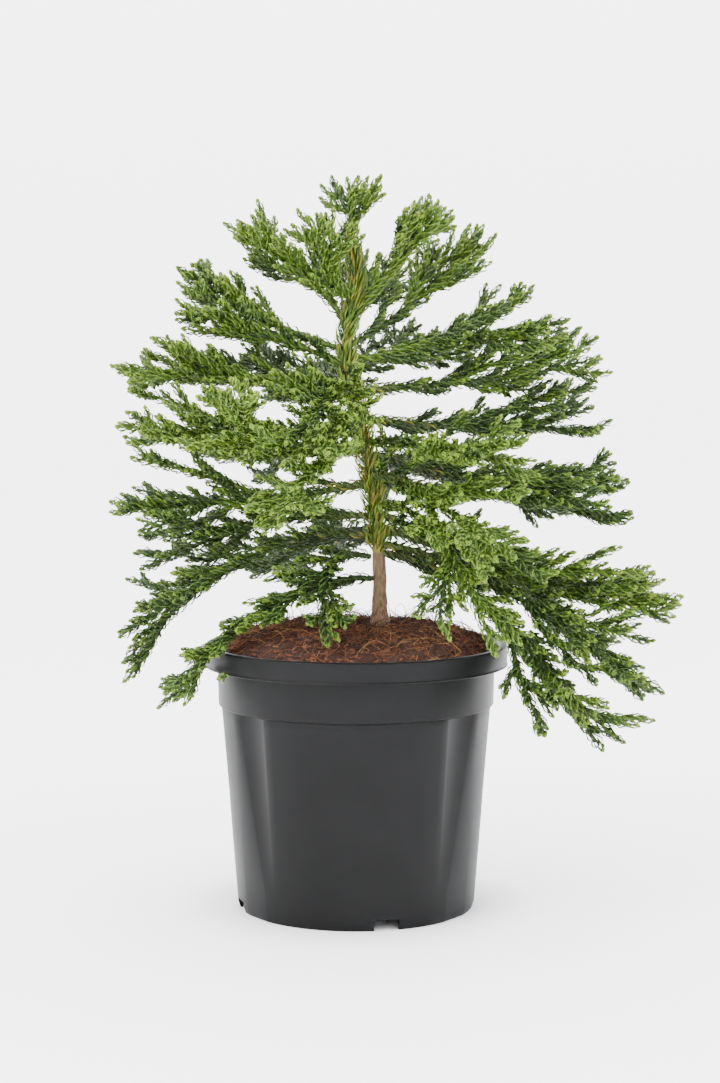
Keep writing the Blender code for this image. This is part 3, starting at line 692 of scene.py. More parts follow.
def clothe(line, clothing, seed, blunt=True, surface=None):
    """Needles round a line: their corners, and each one's distance from the line's end.

    They stand on the line's own stem, or on a limb whose radii are given as its surface.
    """
    rng = np.random.default_rng(seed)
    steps = np.linalg.norm(np.diff(line, axis=0), axis=1)
    length = float(steps.sum())
    heads, across, over = carried_frames(line)
    ahead = line[-1] + heads[-1] * TIP_STRETCH * 1.5
    line = np.vstack((line, ahead))
    across = np.vstack((across, across[-1]))
    over = np.vstack((over, over[-1]))
    marks = np.concatenate(([0.0], np.cumsum(np.append(steps, TIP_STRETCH * 1.5))))
    end = length + TIP_OVERHANG if blunt else marks[-1] + TIP_DOME
    count = max(6, int(length * clothing.density))
    base = np.linspace(0.0, length - 0.001, count)
    if blunt:
        base = np.append(base, np.linspace(length - 0.5 * TIP_CAP, length, TIP_NEEDLES))
        count += TIP_NEEDLES
    turn = GOLDEN_TURN * np.arange(count) + rng.uniform(0, 6.28) + rng.uniform(-0.2, 0.2, count)
    left = length - base
    fullness = np.clip(left / TIP_STRETCH, 0.0, 1.0) ** 0.7 if blunt else np.ones(count)
    long = clothing.length * (0.34 + 0.66 * fullness) * rng.uniform(0.86, 1.14, count)
    spread = clothing.spread * (0.25 + 0.75 * fullness) * rng.uniform(0.80, 1.20, count)
    twist = math.radians(clothing.twist) * rng.uniform(0.8, 1.2, count)
    slim = 0.6 + 0.4 * fullness
    root = np.full(count, 0.8 * clothing.core)
    if surface is not None:
        root = np.interp(base, marks[: len(surface)], surface) - ROOT_SUNK
    corners = np.empty((count, NEEDLE_POINTS, 3))
    for k, (along, out) in enumerate(zip(NEEDLE_ALONG, NEEDLE_OUT)):
        at = np.minimum(base + long * along * 0.94, end)
        centre = read_line(line, marks, at)
        a = read_line(across, marks, at)
        b = read_line(over, marks, at)
        angle = turn + twist * along
        outward = np.cos(angle)[:, None] * a + np.sin(angle)[:, None] * b
        around = -np.sin(angle)[:, None] * a + np.cos(angle)[:, None] * b
        dome = np.sqrt(np.clip((end - at) / TIP_DOME, 0.01, 1.0))
        radius = dome * (root + spread * out)
        point = centre + radius[:, None] * outward
        if k == 2:
            corners[:, 6] = point
        else:
            half = (NEEDLE_HALF_WIDTH[k] * slim)[:, None]
            corners[:, 3 * k] = point - half * around
            corners[:, 3 * k + 1] = point + half * around
            corners[:, 3 * k + 2] = point + (NEEDLE_RIDGE[k] * slim)[:, None] * outward
    return corners, left


def mesh_piece(name, vertices, faces_by_size, colours, materials):
    """A smooth mesh from arrays. faces_by_size is a list of index arrays, and colours their slots."""
    mesh = bpy.data.meshes.new(name)
    mesh.vertices.add(len(vertices))
    mesh.vertices.foreach_set("co", np.asarray(vertices, dtype=np.float32).ravel())
    corners = np.concatenate([faces.ravel() for faces in faces_by_size])
    sizes = np.concatenate([np.full(len(faces), faces.shape[1]) for faces in faces_by_size])
    mesh.loops.add(len(corners))
    mesh.loops.foreach_set("vertex_index", corners.astype(np.int32))
    mesh.polygons.add(len(sizes))
    starts = np.concatenate(([0], np.cumsum(sizes)[:-1]))
    mesh.polygons.foreach_set("loop_start", starts.astype(np.int32))
    mesh.polygons.foreach_set("material_index", np.concatenate(colours).astype(np.int32))
    mesh.update(calc_edges=True)
    mesh.validate()
    mesh.shade_smooth()
    for finish in materials:
        mesh.materials.append(finish)
    piece = bpy.data.objects.new(name, mesh)
    bpy.context.scene.collection.objects.link(piece)
    return piece


def needle_piece(name, corners, colours, cores, materials):
    """One piece from the corners of many needles and the stems that carry them, each with its colour."""
    offsets = (np.arange(len(corners)) * NEEDLE_POINTS)[:, None, None]
    quads = [(np.array(NEEDLE_QUADS)[None] + offsets).reshape(-1, 4)]
    triangles = (np.array(NEEDLE_TRIANGLES)[None] + offsets).reshape(-1, 3)
    slots = [np.repeat(colours, len(NEEDLE_QUADS))]
    vertices = [corners.reshape(-1, 3)]
    count = len(vertices[0])
    for line, radii, sides, tone in cores:
        points, faces = tube_arrays(line, radii, sides)
        vertices.append(points)
        quads.append(faces + count)
        slots.append(np.full(len(faces), tone))
        count += len(points)
    slots = [np.concatenate(slots), np.repeat(colours, len(NEEDLE_TRIANGLES))]
    return mesh_piece(name, np.concatenate(vertices), [np.concatenate(quads), triangles], slots, materials)


def tube_arrays(line, radii, sides):
    """Vertices and quads of an open tube round a line."""
    _, across, over = carried_frames(line)
    turns = np.linspace(0, 2 * math.pi, sides, endpoint=False)
    rings = (
        line[:, None]
        + radii[:, None, None]
        * (np.cos(turns)[None, :, None] * across[:, None] + np.sin(turns)[None, :, None] * over[:, None])
    )
    quads = []
    for i in range(len(line) - 1):
        for k in range(sides):
            a = i * sides + k
            b = i * sides + (k + 1) % sides
            quads.append((a, b, b + sides, a + sides))
    return rings.reshape(-1, 3), np.array(quads)


def as_array(points):
    return np.array([tuple(p) for p in points])


def plain_material(name, colour, roughness):
    finish = bpy.data.materials.new(name)
    finish.use_nodes = True
    shader = finish.node_tree.nodes["Principled BSDF"]
    shader.inputs["Base Color"].default_value = (*colour, 1.0)
    shader.inputs["Roughness"].default_value = roughness
    shader.inputs["Specular IOR Level"].default_value = 0.35
    return finish


def shoot_tone_and_painted_light(limb, shoot, rng):
    """Brightness class of one shoot: brighter upward and outward, partly as fresher growth and partly as painted
    light, with painted shade on low and inner shoots; and by its limb's tone and painted light.
    """
    tip = shoot.curve.at(1.0)
    outward = min(1.0, math.hypot(tip.x, tip.y) / 0.2)
    upward = (tip.z - 0.2) / 0.4
    # painted light and shade: outward and upward shoots lighter, inner and lower ones darker, along with fresher
    # growth at the crown's outside
    score = 0.85 + 0.75 * LIMB_TONE_AND_PAINTED_LIGHT.get(limb.name, 0.0) + 0.5 * outward + 0.5 * upward
    score += rng.uniform(-0.45, 0.45)
    return int(min(BRIGHT, max(DEEP, round(score))))


def grow_foliage(stems, starts, kept):
    """Needles and fine stems for the whole crown, as pieces by part of the crown."""
    materials = [plain_material(n, c, 0.52) for n, c in NEEDLE_COLOURS.items()]
    groups = {}
    for number, (limb, stem, start, shoots) in enumerate(zip(LIMBS, stems, starts, kept)):
        rng = random.Random("tones of " + limb.name)
        needles = []
        colours = []
        cores = []
        length = stem.length()
        clothed = [(Shoot(stem, length, 0), start, STEM_CLOTHING)]
        clothed += [(s, 0.0, ARM_CLOTHING if s.order == 1 else FINE_CLOTHING) for s in shoots]
        for count, (shoot, low, clothing) in enumerate(clothed):
            steps = max(6, int(shoot.length * (1 - low) / 0.004))
            line = as_array(shoot.curve.stretch(low, 1.0, steps))
            tone = shoot_tone_and_painted_light(limb, shoot, rng)
            corners, left = clothe(line, clothing, [number, count])
            slots = np.full(len(corners), tone)
            slots[left < TIP_CAP] = min(TIP, tone + 1)
            needles.append(corners)
            colours.append(slots)
            radii = clothing.core * (1.0 - 0.6 * np.linspace(0, 1, len(line)) ** 2)
            cores.append((line[::2], radii[::2], CORE_SIDES, max(DEEP, tone - 1)))
        if start:
            line = as_array(stem.stretch(0.0, start, 14))
            surface = np.linspace(BOUGH_RADIUS, BOUGH_TIP_RADIUS, len(line))
            corners, left = clothe(line, BOUGH_CLOTHING, [number, 999], False, surface)
            tone = max(DEEP, shoot_tone_and_painted_light(limb, Shoot(stem, length, 0), rng) - 1)
            needles.append(corners)
            slots = np.full(len(corners), tone)
            slots[np.random.default_rng(number).random(len(slots)) < 0.12] = BRONZE
            colours.append(slots)
        group = limb.name.split("_")[0]
        if group in ("leader", "high"):
            group = "top"
        member = (limb.name, np.concatenate(needles), np.concatenate(colours), cores)
        groups.setdefault(group, []).append(member)
    pieces = []
    total = 0
    for group, members in groups.items():
        batches = [[]]
        for member in members:
            used = sum(len(m[1]) for m in batches[-1]) * NEEDLE_COST
            if batches[-1] and used + len(member[1]) * NEEDLE_COST > PIECE_LIMIT:
                batches.append([])
            batches[-1].append(member)
        for i, batch in enumerate(batches):
            corners = np.concatenate([m[1] for m in batch])
            colours = np.concatenate([m[2] for m in batch])
            cores = [core for m in batch for core in m[3]]
            piece = needle_piece(f"foliage_{group}_{i + 1}", corners, colours, cores, materials)
            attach(piece, "root")
            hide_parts(*["spray_" + m[0] for m in batch])
            total += len(corners) * NEEDLE_COST
            pieces.append(piece)
    print("foliage", total, "triangles in", len(pieces), "pieces")


def join_tubes(name, tubes, finish):
    vertices = []
    quads = []
    count = 0
    for line, radii, sides in tubes:
        points, faces = tube_arrays(line, radii, sides)
        vertices.append(points)
        quads.append(faces + count)
        count += len(points)
    quads = np.concatenate(quads)
    piece = mesh_piece(name, np.concatenate(vertices), [quads], [np.zeros(len(quads))], [finish])
    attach(piece, "root")
    return piece


class Nodes:
    """A short way to build a material's nodes."""

    def __init__(self, name):
        self.material = bpy.data.materials.new(name)
        self.material.use_nodes = True
        self.tree = self.material.node_tree
        self.shader = self.tree.nodes["Principled BSDF"]

    def add(self, kind, inputs=None, **settings):
        node = self.tree.nodes.new(kind)
        for key, value in settings.items():
            setattr(node, key, value)
        for key, value in (inputs or {}).items():
            if isinstance(value, bpy.types.NodeSocket):
                self.tree.links.new(value, node.inputs[key])
            else:
                node.inputs[key].default_value = value
        return node

    def position(self, scale=(1, 1, 1)):
        coordinates = self.add("ShaderNodeTexCoord")
        mapping = self.add("ShaderNodeMapping", {"Vector": coordinates.outputs["Object"], "Scale": scale})
        return mapping.outputs["Vector"]

    def noise(self, vector, scale, detail=6.0, roughness=0.6):
        inputs = {"Vector": vector, "Scale": scale, "Detail": detail, "Roughness": roughness}
        return self.add("ShaderNodeTexNoise", inputs).outputs["Fac"]

    def ramp(self, factor, stops):
        node = self.add("ShaderNodeValToRGB", {"Fac": factor})
        elements = node.color_ramp.elements
        while len(elements) < len(stops):
            elements.new(0.5)
        for element, (place, colour) in zip(elements, stops):
            element.position = place
            element.color = (*colour, 1.0) if len(colour) == 3 else colour
        return node.outputs["Color"]

    def link(self, output, socket):
        self.tree.links.new(output, self.shader.inputs[socket])

    def bump(self, height, strength, distance):
        inputs = {"Height": height, "Strength": strength, "Distance": distance}
        self.link(self.add("ShaderNodeBump", inputs).outputs["Normal"], "Normal")


def grey(value):
    return (value, value, value)


def pot_material():
    nodes = Nodes("pot_plastic")
    broad = nodes.noise(nodes.position(), 9.0, 4.0)
    fine = nodes.noise(nodes.position(), 420.0, 3.0)
    specks = nodes.noise(nodes.position(), 130.0, 2.0, 0.4)
    colour = nodes.ramp(broad, ((0.3, (0.0030, 0.0031, 0.0033)), (0.7, (0.0048, 0.0049, 0.0051))))
    dust = nodes.ramp(specks, ((0.66, grey(0.0)), (0.74, grey(1.0))))
    mixed = nodes.add(
        "ShaderNodeMix",
        {"Factor": dust, "A": colour, "B": (0.004, 0.004, 0.004, 1.0)},
        data_type="RGBA",
    )
    nodes.link(mixed.outputs["Result"], "Base Color")
    rough = nodes.ramp(broad, ((0.25, grey(0.34)), (0.75, grey(0.46))))
    nodes.link(rough, "Roughness")
    nodes.shader.inputs["Specular IOR Level"].default_value = 0.10
    nodes.bump(fine, 0.10, 0.0004)
    return nodes.material


def mulch_material(name, dark, light, scale):
    nodes = Nodes(name)
    grain = nodes.noise(nodes.position(), scale, 8.0, 0.7)
    nodes.link(nodes.ramp(grain, ((0.3, dark), (0.7, light))), "Base Color")
    nodes.shader.inputs["Roughness"].default_value = 0.92
    nodes.bump(nodes.noise(nodes.position(), scale * 3, 6.0), 0.6, 0.002)
    return nodes.material


def bark_material():
    nodes = Nodes("bark")
    streaks = nodes.noise(nodes.position((1.0, 1.0, 0.16)), 700.0, 6.0, 0.65)
    broad = nodes.noise(nodes.position(), 60.0, 4.0)
    colour = nodes.ramp(streaks, ((0.32, (0.045, 0.022, 0.012)), (0.5, (0.14, 0.075, 0.040)), (0.72, (0.27, 0.17, 0.10))))
    tinted = nodes.add(
        "ShaderNodeMix",
        {"Factor": nodes.ramp(broad, ((0.45, grey(0.0)), (0.75, grey(0.5)))), "A": colour, "B": (0.13, 0.12, 0.035, 1.0)},
        data_type="RGBA",
    )
    nodes.link(tinted.outputs["Result"], "Base Color")
    nodes.shader.inputs["Roughness"].default_value = 0.85
    nodes.bump(streaks, 0.8, 0.0012)
    return nodes.material


def twig_material():
    nodes = Nodes("green_bark")
    grain = nodes.noise(nodes.position((1.0, 1.0, 0.4)), 300.0, 4.0)
    nodes.link(nodes.ramp(grain, ((0.35, (0.030, 0.050, 0.010)), (0.65, (0.085, 0.090, 0.022)))), "Base Color")
    nodes.shader.inputs["Roughness"].default_value = 0.7
    nodes.bump(grain, 0.4, 0.0006)
    return nodes.material


def arc(radius, height, size, first, last, steps=5):
    """Points of a rounding about a centre in the profile's plane, by angles in degrees."""
    turns = [math.radians(first + (last - first) * i / steps) for i in range(steps + 1)]
    return [(radius + size * math.cos(t), height + size * math.sin(t), False) for t in turns]


def body_radius(height):
    """Outer radius of the plain wall below the collar."""
    slope = (BODY_TOP_RADIUS - FOOT_RADIUS) / COLLAR_LOWER_EDGE
    return FOOT_RADIUS + slope * height + FOOT_STEP * min(1.0, height / FOOT_HEIGHT)


FINE_FLUTE_COLUMNS = 10
FINE_PANEL_COLUMN = 3.4
FINE_WALL_RINGS = 26


def fine_columns():
    """Columns round the pot: an angle, a share of a flute's width past it, a depth share."""
    half = [(0.0, 0.0, 0.0)]
    panel_start = 0.0
    for flute in FLUTE_STARTS + (180.0,):
        count = max(2, round((flute - panel_start) / FINE_PANEL_COLUMN))
        half += [(panel_start + (flute - panel_start) * k / count, 0.0, 0.0) for k in range(1, count)]
        if flute < 180.0:
            for k in range(FINE_FLUTE_COLUMNS + 1):
                across = k / FINE_FLUTE_COLUMNS
                half.append((flute, across, math.sin(math.pi * across) ** 0.8 if k < FINE_FLUTE_COLUMNS else 0.0))
            panel_start = flute + FLUTE_WIDTH
    mirrored = [(-angle, -across, depth) for angle, across, depth in reversed(half[1:])]
    return half + [(180.0, 0.0, 0.0)] + mirrored


def pot_profile():
    """Profile of the pot from the middle of its underside, over the rim, to the middle inside."""
    plate_top = BASE_PLATE_UNDERSIDE + BASE_PLATE
    inside = COLLAR_RADIUS - WALL
    wall = [FLUTE_FOOT + (FLUTE_TOP - FLUTE_FOOT) * i / FINE_WALL_RINGS for i in range(FINE_WALL_RINGS + 1)]
    profile = [
        (0.0, 0.0, False),
        (PAD_RADIUS, 0.0, False),
        (PAD_RADIUS + PAD_SLOPE, BASE_PLATE_UNDERSIDE, False),
        (FOOT_RADIUS - SKIRT - SKIRT_SLOPE, BASE_PLATE_UNDERSIDE, False),
        (FOOT_RADIUS - SKIRT, 0.0, False),
    ]
    profile += arc(FOOT_RADIUS - 0.0008, 0.0008, 0.0008, -90, 0, 3)
    profile += [(body_radius(z), z, False) for z in (FOOT_HEIGHT, 0.011, 0.018)]
    profile += [(body_radius(z), z, True) for z in wall]
    profile += [(BODY_TOP_RADIUS + 0.0002, COLLAR_LOWER_EDGE - 0.0012, False)]
    profile += arc(COLLAR_RADIUS - COLLAR_DRAFT - 0.0010, COLLAR_LOWER_EDGE, 0.0010, -80, 0, 4)
    profile += [
        (COLLAR_RADIUS - 0.0004, 0.190, False),
        (COLLAR_RADIUS - 0.0001, RIM_LOWER_EDGE - 0.0008, False),
        (COLLAR_RADIUS + 0.0010, RIM_LOWER_EDGE + 0.0002, False),
    ]
    profile += arc(RIM_RADIUS - 0.0008, RIM_LOWER_EDGE + 0.0006, 0.0008, -90, 30, 5)
    profile += [(RIM_RADIUS - 0.0007, RIM_LOWER_EDGE + 0.0016, False)]
    profile += [(RIM_RADIUS - 0.0004, 0.5 * (RIM_LOWER_EDGE + POT_HEIGHT), False)]
    profile += arc(RIM_RADIUS - 0.0026, POT_HEIGHT - 0.0020, 0.0020, 0, 90, 6)
    profile += [
        (RIM_RADIUS - RIM_FLAT_INNER, POT_HEIGHT - 0.0002, False),
        (RIM_RADIUS - RIM_FLAT_INNER - 0.0012, POT_HEIGHT - 0.0009, False),
        (RIM_RADIUS - RIM_FLAT_INNER - RIM_SLOPE, POT_HEIGHT - RIM_SLOPE_HEIGHT, False),
        (inside, RIM_LOWER_EDGE - INSIDE_STEP, False),
        (inside - COLLAR_DRAFT, COLLAR_LOWER_EDGE, False),
    ]
    profile += [(body_radius(z) - WALL, z, True) for z in reversed(wall)]
    profile += [
        (body_radius(plate_top) - WALL, plate_top, False),
        (PAD_RADIUS + PAD_SLOPE, plate_top, False),
        (PAD_RADIUS, BASE_PLATE, False),
        (0.0, BASE_PLATE, False),
    ]
    return profile


def turned(profile, columns):
    """Vertices and faces of a solid turned from a profile that starts and ends on the axis."""
    count = len(columns)
    vertices = [(0.0, 0.0, profile[0][1])]
    for radius, height, fluted in profile[1:-1]:
        share = min(1.0, max(0.0, (height - FLUTE_FOOT) / (FLUTE_TOP - FLUTE_FOOT)))
        for angle, across, depth in columns:
            width = FLUTE_POINT_WIDTH + (FLUTE_WIDTH - FLUTE_POINT_WIDTH) * share
            turn = math.radians(angle + across * width - 90.0)
            reach = radius - (FLUTE_DEPTH * depth * share if fluted else 0.0)
            vertices.append((reach * math.cos(turn), reach * math.sin(turn), height))
    vertices.append((0.0, 0.0, profile[-1][1]))
    faces = [(0, 1 + (k + 1) % count, 1 + k) for k in range(count)]
    for i in range(len(profile) - 3):
        low = 1 + i * count
        for k in range(count):
            after = (k + 1) % count
            faces.append((low + k, low + after, low + count + after, low + count + k))
    last = len(vertices) - 1
    ring = last - count
    faces += [(ring + k, ring + (k + 1) % count, last) for k in range(count)]
    return vertices, faces


def object_from(name, vertices, faces, finish, sharp):
    mesh = bpy.data.meshes.new(name)
    mesh.from_pydata([tuple(v) for v in vertices], [], faces)
    shell = bmesh.new()
    shell.from_mesh(mesh)
    bmesh.ops.recalc_face_normals(shell, faces=shell.faces)
    shell.to_mesh(mesh)
    shell.free()
    mesh.shade_smooth()
    mesh.set_sharp_from_angle(angle=math.radians(sharp))
    mesh.materials.append(finish)
    piece = bpy.data.objects.new(name, mesh)
    bpy.context.scene.collection.objects.link(piece)
    return piece


def cut_away(target, tool):
    cut = target.modifiers.new("Cut", "BOOLEAN")
    cut.operation = "DIFFERENCE"
    cut.object = tool
    cut.solver = "EXACT"
    bpy.context.view_layer.update()
    depsgraph = bpy.context.evaluated_depsgraph_get()
    mesh = bpy.data.meshes.new_from_object(target.evaluated_get(depsgraph))
    target.modifiers.remove(cut)
    target.data = mesh
    bpy.data.objects.remove(tool)


def make_pot():
    vertices, faces = turned(pot_profile(), fine_columns())
    pot = object_from("nursery_pot", vertices, faces, pot_material(), 40)
    for i in range(NOTCH_COUNT):
        bearing = math.radians(NOTCH_BEARING + 360.0 * i / NOTCH_COUNT)
        centre = FOOT_RADIUS - SKIRT / 2
        bpy.ops.mesh.primitive_cube_add(size=1)
        tool = bpy.context.object
        tool.scale = (NOTCH_DEPTH, NOTCH_WIDTH, 2 * NOTCH_HEIGHT)
        tool.location = (centre * math.cos(bearing), centre * math.sin(bearing), 0.0)
        tool.rotation_euler = (0, 0, bearing)
        cut_away(pot, tool)
        drain = bearing + math.pi / NOTCH_COUNT
        bpy.ops.mesh.primitive_cylinder_add(vertices=24, radius=DRAIN_RADIUS, depth=5 * BASE_PLATE)
        tool = bpy.context.object
        tool.location = (
            DRAIN_CIRCLE * math.cos(drain),
            DRAIN_CIRCLE * math.sin(drain),
            BASE_PLATE_UNDERSIDE + BASE_PLATE / 2,
        )
        cut_away(pot, tool)
    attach(pot, "root")
    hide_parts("pot")


MOUND_RINGS = 46
MOUND_COLUMNS = 150
MOUND_UNDERSIDE = 0.200


def mound_top(x, y):
    """Height of the lumpy mulch at a place."""
    level = math.hypot(x, y)
    height = mulch_height(level) - MULCH_LUMP
    fade = min(1.0, max(0.0, (MULCH_PROFILE[-1][0] - level) / 0.012))
    lumps = 0.0022 * noise.noise(Vector((x, y, 0.3)) * 55)
    lumps += 0.0016 * noise.noise(Vector((x, y, 1.7)) * 150)
    lumps += 0.0010 * noise.noise(Vector((x, y, 4.1)) * 380)
    return height - 0.0008 + lumps * (0.35 + 0.65 * fade)


def make_mound():
    vertices = [(0.0, 0.0, mound_top(0, 0))]
    for i in range(1, MOUND_RINGS + 1):
        level = MULCH_PROFILE[-1][0] * i / MOUND_RINGS
        for k in range(MOUND_COLUMNS):
            turn = 2 * math.pi * k / MOUND_COLUMNS
            x = level * math.cos(turn)
            y = level * math.sin(turn)
            vertices.append((x, y, mound_top(x, y)))
    under = len(vertices)
    rim = COLLAR_RADIUS - WALL - 2 * GAP
    for k in range(MOUND_COLUMNS):
        turn = 2 * math.pi * k / MOUND_COLUMNS
        vertices.append((rim * math.cos(turn), rim * math.sin(turn), MOUND_UNDERSIDE))
    vertices.append((0.0, 0.0, MOUND_UNDERSIDE))
    faces = [(0, 1 + k, 1 + (k + 1) % MOUND_COLUMNS) for k in range(MOUND_COLUMNS)]
    for i in range(MOUND_RINGS):
        low = 1 + i * MOUND_COLUMNS
        high = low + MOUND_COLUMNS
        for k in range(MOUND_COLUMNS):
            after = (k + 1) % MOUND_COLUMNS
            faces.append((low + k, high + k, high + after, low + after))
    last = len(vertices) - 1
    faces += [(under + k, last, under + (k + 1) % MOUND_COLUMNS) for k in range(MOUND_COLUMNS)]
    finish = mulch_material("coir_mulch", (0.010, 0.004, 0.002), (0.060, 0.020, 0.009), 260.0)
    mound = object_from("mulch_mound", vertices, faces, finish, 60)
    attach(mound, "root")
    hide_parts("soil")


FIBRE_COLOURS = (
    ("coir_dark", (0.018, 0.006, 0.003), 900),
    ("coir_red", (0.056, 0.017, 0.006), 1200),
    ("coir_orange", (0.170, 0.054, 0.012), 650),
    ("coir_tan", (0.270, 0.130, 0.048), 170),
)
FIBRE_SIDES = 3
FIBRE_STEPS = 7


def fibre_line(rng, long):
    """A curly strand that lies on the mound and lifts off it here and there."""
    level = 0.1125 * math.sqrt(rng.random())
    turn = rng.uniform(0, 2 * math.pi)
    x = level * math.cos(turn)
    y = level * math.sin(turn)
    heading = rng.uniform(0, 2 * math.pi)
    length = rng.uniform(0.010, 0.028) * (1.6 if long else 1.0)
    curl = rng.uniform(-1.6, 1.6)
    lift = rng.choice((0.0006, 0.0012, 0.0025, 0.006)) * rng.random()
    rise = rng.uniform(0, 0.9) if rng.random() < 0.09 else 0.0
    points = []
    height = 0.0
    for i in range(FIBRE_STEPS + 1):
        share = i / FIBRE_STEPS
        level = math.hypot(x, y)
        if level > 0.1135:
            x, y = x * 0.1135 / level, y * 0.1135 / level
        arch = lift * math.sin(math.pi * share)
        height += rise * length / FIBRE_STEPS * (1.0 - 0.6 * share)
        points.append((x, y, mound_top(x, y) + 0.0004 + arch + height))
        heading += curl / FIBRE_STEPS + rng.uniform(-0.25, 0.25)
        step = length / FIBRE_STEPS * (1.0 - 0.5 * min(1.0, rise))
        x += step * math.cos(heading)
        y += step * math.sin(heading)
    return np.array(points)


def make_fibres():
    for name, colour, count in FIBRE_COLOURS:
        rng = random.Random(name)
        tubes = []
        for i in range(count):
            line = fibre_line(rng, name == "coir_tan")
            thick = rng.uniform(0.00020, 0.00048)
            radii = thick * np.linspace(1.0, 0.5, len(line))
            tubes.append((line, radii, FIBRE_SIDES))
        lighter = tuple(1.7 * c for c in colour)
        darker = tuple(0.55 * c for c in colour)
        join_tubes(name, tubes, mulch_material(name, darker, lighter, 500.0))


CHIP_COUNT = 1100


def make_chips():
    """Crumbs of husk: small bent flakes that lie every way on the mound."""
    rng = random.Random("chips")
    vertices = []
    faces = []
    for i in range(CHIP_COUNT):
        level = 0.112 * math.sqrt(rng.random())
        turn = rng.uniform(0, 2 * math.pi)
        x = level * math.cos(turn)
        y = level * math.sin(turn)
        centre = Vector((x, y, mound_top(x, y) + rng.uniform(-0.0004, 0.0012)))
        along = direction(rng.uniform(0, 360), rng.uniform(-25, 25))
        up = Vector((rng.uniform(-0.6, 0.6), rng.uniform(-0.6, 0.6), 1.0))
        across = along.cross(up).normalized()
        up = across.cross(along)
        long = rng.uniform(0.0015, 0.0045)
        wide = long * rng.uniform(0.25, 0.6)
        thick = rng.uniform(0.0004, 0.0011)
        base = len(vertices)
        for a in (-1, 1):
            for b in (-1, 1):
                for c in (-1, 1):
                    corner = centre + along * (a * long * rng.uniform(0.6, 1.0))
                    corner += across * (b * wide * rng.uniform(0.5, 1.0))
                    corner += up * (c * thick * rng.uniform(0.4, 1.0))
                    vertices.append(corner)
        for face in ((0, 1, 3, 2), (4, 6, 7, 5), (0, 4, 5, 1), (2, 3, 7, 6), (0, 2, 6, 4), (1, 5, 7, 3)):
            faces.append([base + k for k in face])
    finish = mulch_material("husk", (0.030, 0.011, 0.006), (0.190, 0.062, 0.022), 180.0)
    chips = object_from("husk_chips", vertices, faces, finish, 30)
    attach(chips, "root")


BARK_SIDES = 36
BARK_RING_STEP = 0.0014
BARK_RELIEF = 0.0009
BARK_RELIEF_TOP = 0.34


def bark_radius(base, height, turn, relief):
    """Radius with the bark's upright plates and cracks."""
    where = Vector((math.cos(turn) * 2.2, math.sin(turn) * 2.2, height * 75))
    plates = noise.noise(where * 1.6)
    cracks = abs(noise.noise(where * 2.9 + Vector((7, 3, 1))))
    return base + relief * (0.9 * plates - 1.1 * (0.3 - min(0.3, cracks)))


def make_trunk():
    count = int((TRUNK_TIP - TRUNK_FOOT) / BARK_RING_STEP)
    vertices = []
    for i in range(count + 1):
        height = TRUNK_FOOT + (TRUNK_TIP - TRUNK_FOOT) * i / count
        centre = trunk_point(height)
        base = trunk_radius(height)
        relief = BARK_RELIEF * min(1.0, max(0.25, (BARK_RELIEF_TOP - height) / 0.08)) * base / TRUNK_BASE_RADIUS
        for k in range(BARK_SIDES):
            turn = 2 * math.pi * k / BARK_SIDES
            radius = bark_radius(base, height, turn, relief)
            vertices.append(centre + Vector((radius * math.cos(turn), radius * math.sin(turn), 0)))
    faces = []
    for i in range(count):
        for k in range(BARK_SIDES):
            a = i * BARK_SIDES + k
            b = i * BARK_SIDES + (k + 1) % BARK_SIDES
            faces.append((a, b, b + BARK_SIDES, a + BARK_SIDES))
    faces.append(tuple(range(BARK_SIDES))[::-1])
    top = count * BARK_SIDES
    faces.append(tuple(range(top, top + BARK_SIDES)))
    trunk = object_from("trunk_bark", vertices, faces, bark_material(), 70)
    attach(trunk, "root")
    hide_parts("trunk")


def make_boughs(stems, twig_finish):
    tubes = []
    names = []
    for limb, stem in zip(LIMBS, stems):
        if limb.reach < BOUGH_FROM_REACH:
            continue
        line = as_array(stem.stretch(-0.012, BOUGH_SHARE + 0.01, 26))
        radii = np.linspace(BOUGH_RADIUS, BOUGH_TIP_RADIUS, len(line))
        tubes.append((line, radii, 12))
        names.append("bough_" + limb.name)
    boughs = join_tubes("boughs", tubes, twig_finish)
    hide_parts(*names)


TRUNK_NEEDLES_FROM = 0.30


def clothe_trunk():
    """Longer, looser needles along the young upper trunk."""
    heights = np.linspace(TRUNK_NEEDLES_FROM, TRUNK_TIP + 0.004, 60)
    line = as_array([trunk_point(z) for z in heights])
    surface = np.array([trunk_radius(z) for z in heights])
    corners, left = clothe(line, TRUNK_CLOTHING, [77], False, surface)
    pick = np.random.default_rng(5).random(len(corners))
    colours = np.where(pick < 0.30, BRONZE, np.where(pick < 0.55, MID, np.where(pick < 0.85, FRESH, BRIGHT)))
    materials = [bpy.data.materials[name] for name in NEEDLE_COLOURS]
    core = (line, surface + 0.0003, 10, BRONZE)
    piece = needle_piece("foliage_trunk", corners, colours, [core], materials)
    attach(piece, "root")


def make_camera():
    data = bpy.data.cameras.new("camera")
    data.sensor_width = SENSOR
    data.sensor_fit = "AUTO"
    data.lens = FOCAL_LENGTH
    camera = bpy.data.objects.new("camera", data)
    camera.location = CAMERA_PLACE
    camera.rotation_euler = (math.radians(90.0 - CAMERA_TILT), 0.0, 0.0)
    bpy.context.scene.collection.objects.link(camera)
    bpy.context.scene.camera = camera


STAGE_RADIUS = 5.5
STAGE_CURVE = 1.5
STAGE_WALL = 5.0
STAGE_GLOW = 2.0


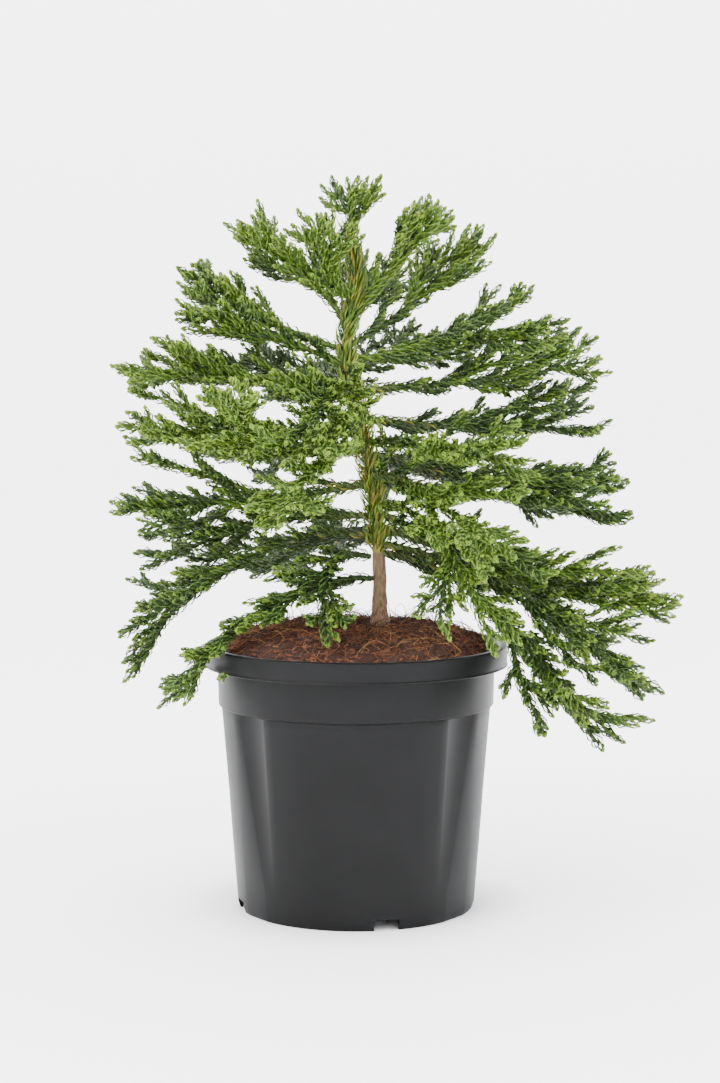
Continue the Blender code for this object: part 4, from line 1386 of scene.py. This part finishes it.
def floor_material():
    """Studio white with a soft glow. The glow fades out near the pot and rises slowly out to 0.7 m, which paints
    a darker ring of shade round the pot as its shadow.
    """
    nodes = Nodes("floor_white")
    length = nodes.add("ShaderNodeVectorMath", {"Vector": nodes.position()}, operation="LENGTH")
    # painted shade: no glow under the pot, rising to full glow 0.7 m out
    fade = nodes.ramp(length.outputs["Value"], ((0.10, grey(0.0)), (0.16, grey(0.62)), (0.7, grey(1.0))))
    glow_with_painted_shade = nodes.add("ShaderNodeMath", {0: fade, 1: STAGE_GLOW}, operation="MULTIPLY")
    nodes.link(glow_with_painted_shade.outputs["Value"], "Emission Strength")
    nodes.shader.inputs["Emission Color"].default_value = (1.0, 1.0, 1.0, 1.0)
    nodes.shader.inputs["Base Color"].default_value = (0.90, 0.90, 0.91, 1.0)
    nodes.shader.inputs["Roughness"].default_value = 0.7
    nodes.shader.inputs["Specular IOR Level"].default_value = 0.3
    return nodes.material


def make_stage():
    """A pale floor that curves up into a round backdrop far behind the plant."""
    profile = [(0.0, 0.0), (1.0, 0.0), (2.5, 0.0), (STAGE_RADIUS - STAGE_CURVE, 0.0)]
    for i in range(1, 13):
        turn = math.radians(90.0 * i / 12)
        profile.append(
            (STAGE_RADIUS - STAGE_CURVE + STAGE_CURVE * math.sin(turn), STAGE_CURVE * (1 - math.cos(turn)))
        )
    profile.append((STAGE_RADIUS, STAGE_WALL))
    columns = 96
    vertices = [(0.0, 0.0, 0.0)]
    for level, height in profile[1:]:
        for k in range(columns):
            turn = 2 * math.pi * k / columns
            vertices.append((level * math.cos(turn), level * math.sin(turn), height))
    faces = [(0, 1 + k, 1 + (k + 1) % columns) for k in range(columns)]
    for i in range(len(profile) - 2):
        low = 1 + i * columns
        for k in range(columns):
            after = (k + 1) % columns
            faces.append((low + k, low + columns + k, low + columns + after, low + after))
    stage = object_from("floor", vertices, faces, floor_material(), 80)


class Lamp(NamedTuple):
    name: str
    place: tuple
    size: float
    power: float
    colour: tuple


LAMPS = (
    Lamp("key", (-1.1, -1.5, 2.5), 1.6, 105.0, (1.0, 0.99, 0.97)),
    Lamp("fill", (1.9, -1.4, 1.5), 1.8, 30.0, (0.97, 0.98, 1.0)),
    Lamp("top", (0.2, 0.6, 2.9), 2.0, 70.0, (1.0, 1.0, 1.0)),
)


def make_lights():
    world = bpy.data.worlds.new("studio")
    world.use_nodes = True
    background = world.node_tree.nodes["Background"]
    background.inputs["Color"].default_value = (0.95, 0.97, 1.0, 1.0)
    background.inputs["Strength"].default_value = 0.55
    bpy.context.scene.world = world
    aim = Vector((0.0, 0.0, 0.3))
    for lamp in LAMPS:
        data = bpy.data.lights.new(lamp.name, "AREA")
        data.shape = "DISK"
        data.size = lamp.size
        data.energy = lamp.power
        data.color = lamp.colour
        light = bpy.data.objects.new(lamp.name, data)
        light.location = lamp.place
        light.rotation_mode = "QUATERNION"
        light.rotation_quaternion = (aim - Vector(lamp.place)).to_track_quat("-Z", "Y")
        bpy.context.scene.collection.objects.link(light)


make_camera()
make_stage()
make_lights()
make_pot()
make_mound()
make_fibres()
make_chips()
make_trunk()
stems, starts, kept = lay_out_crown()
grow_foliage(stems, starts, kept)
make_boughs(stems, twig_material())
clothe_trunk()
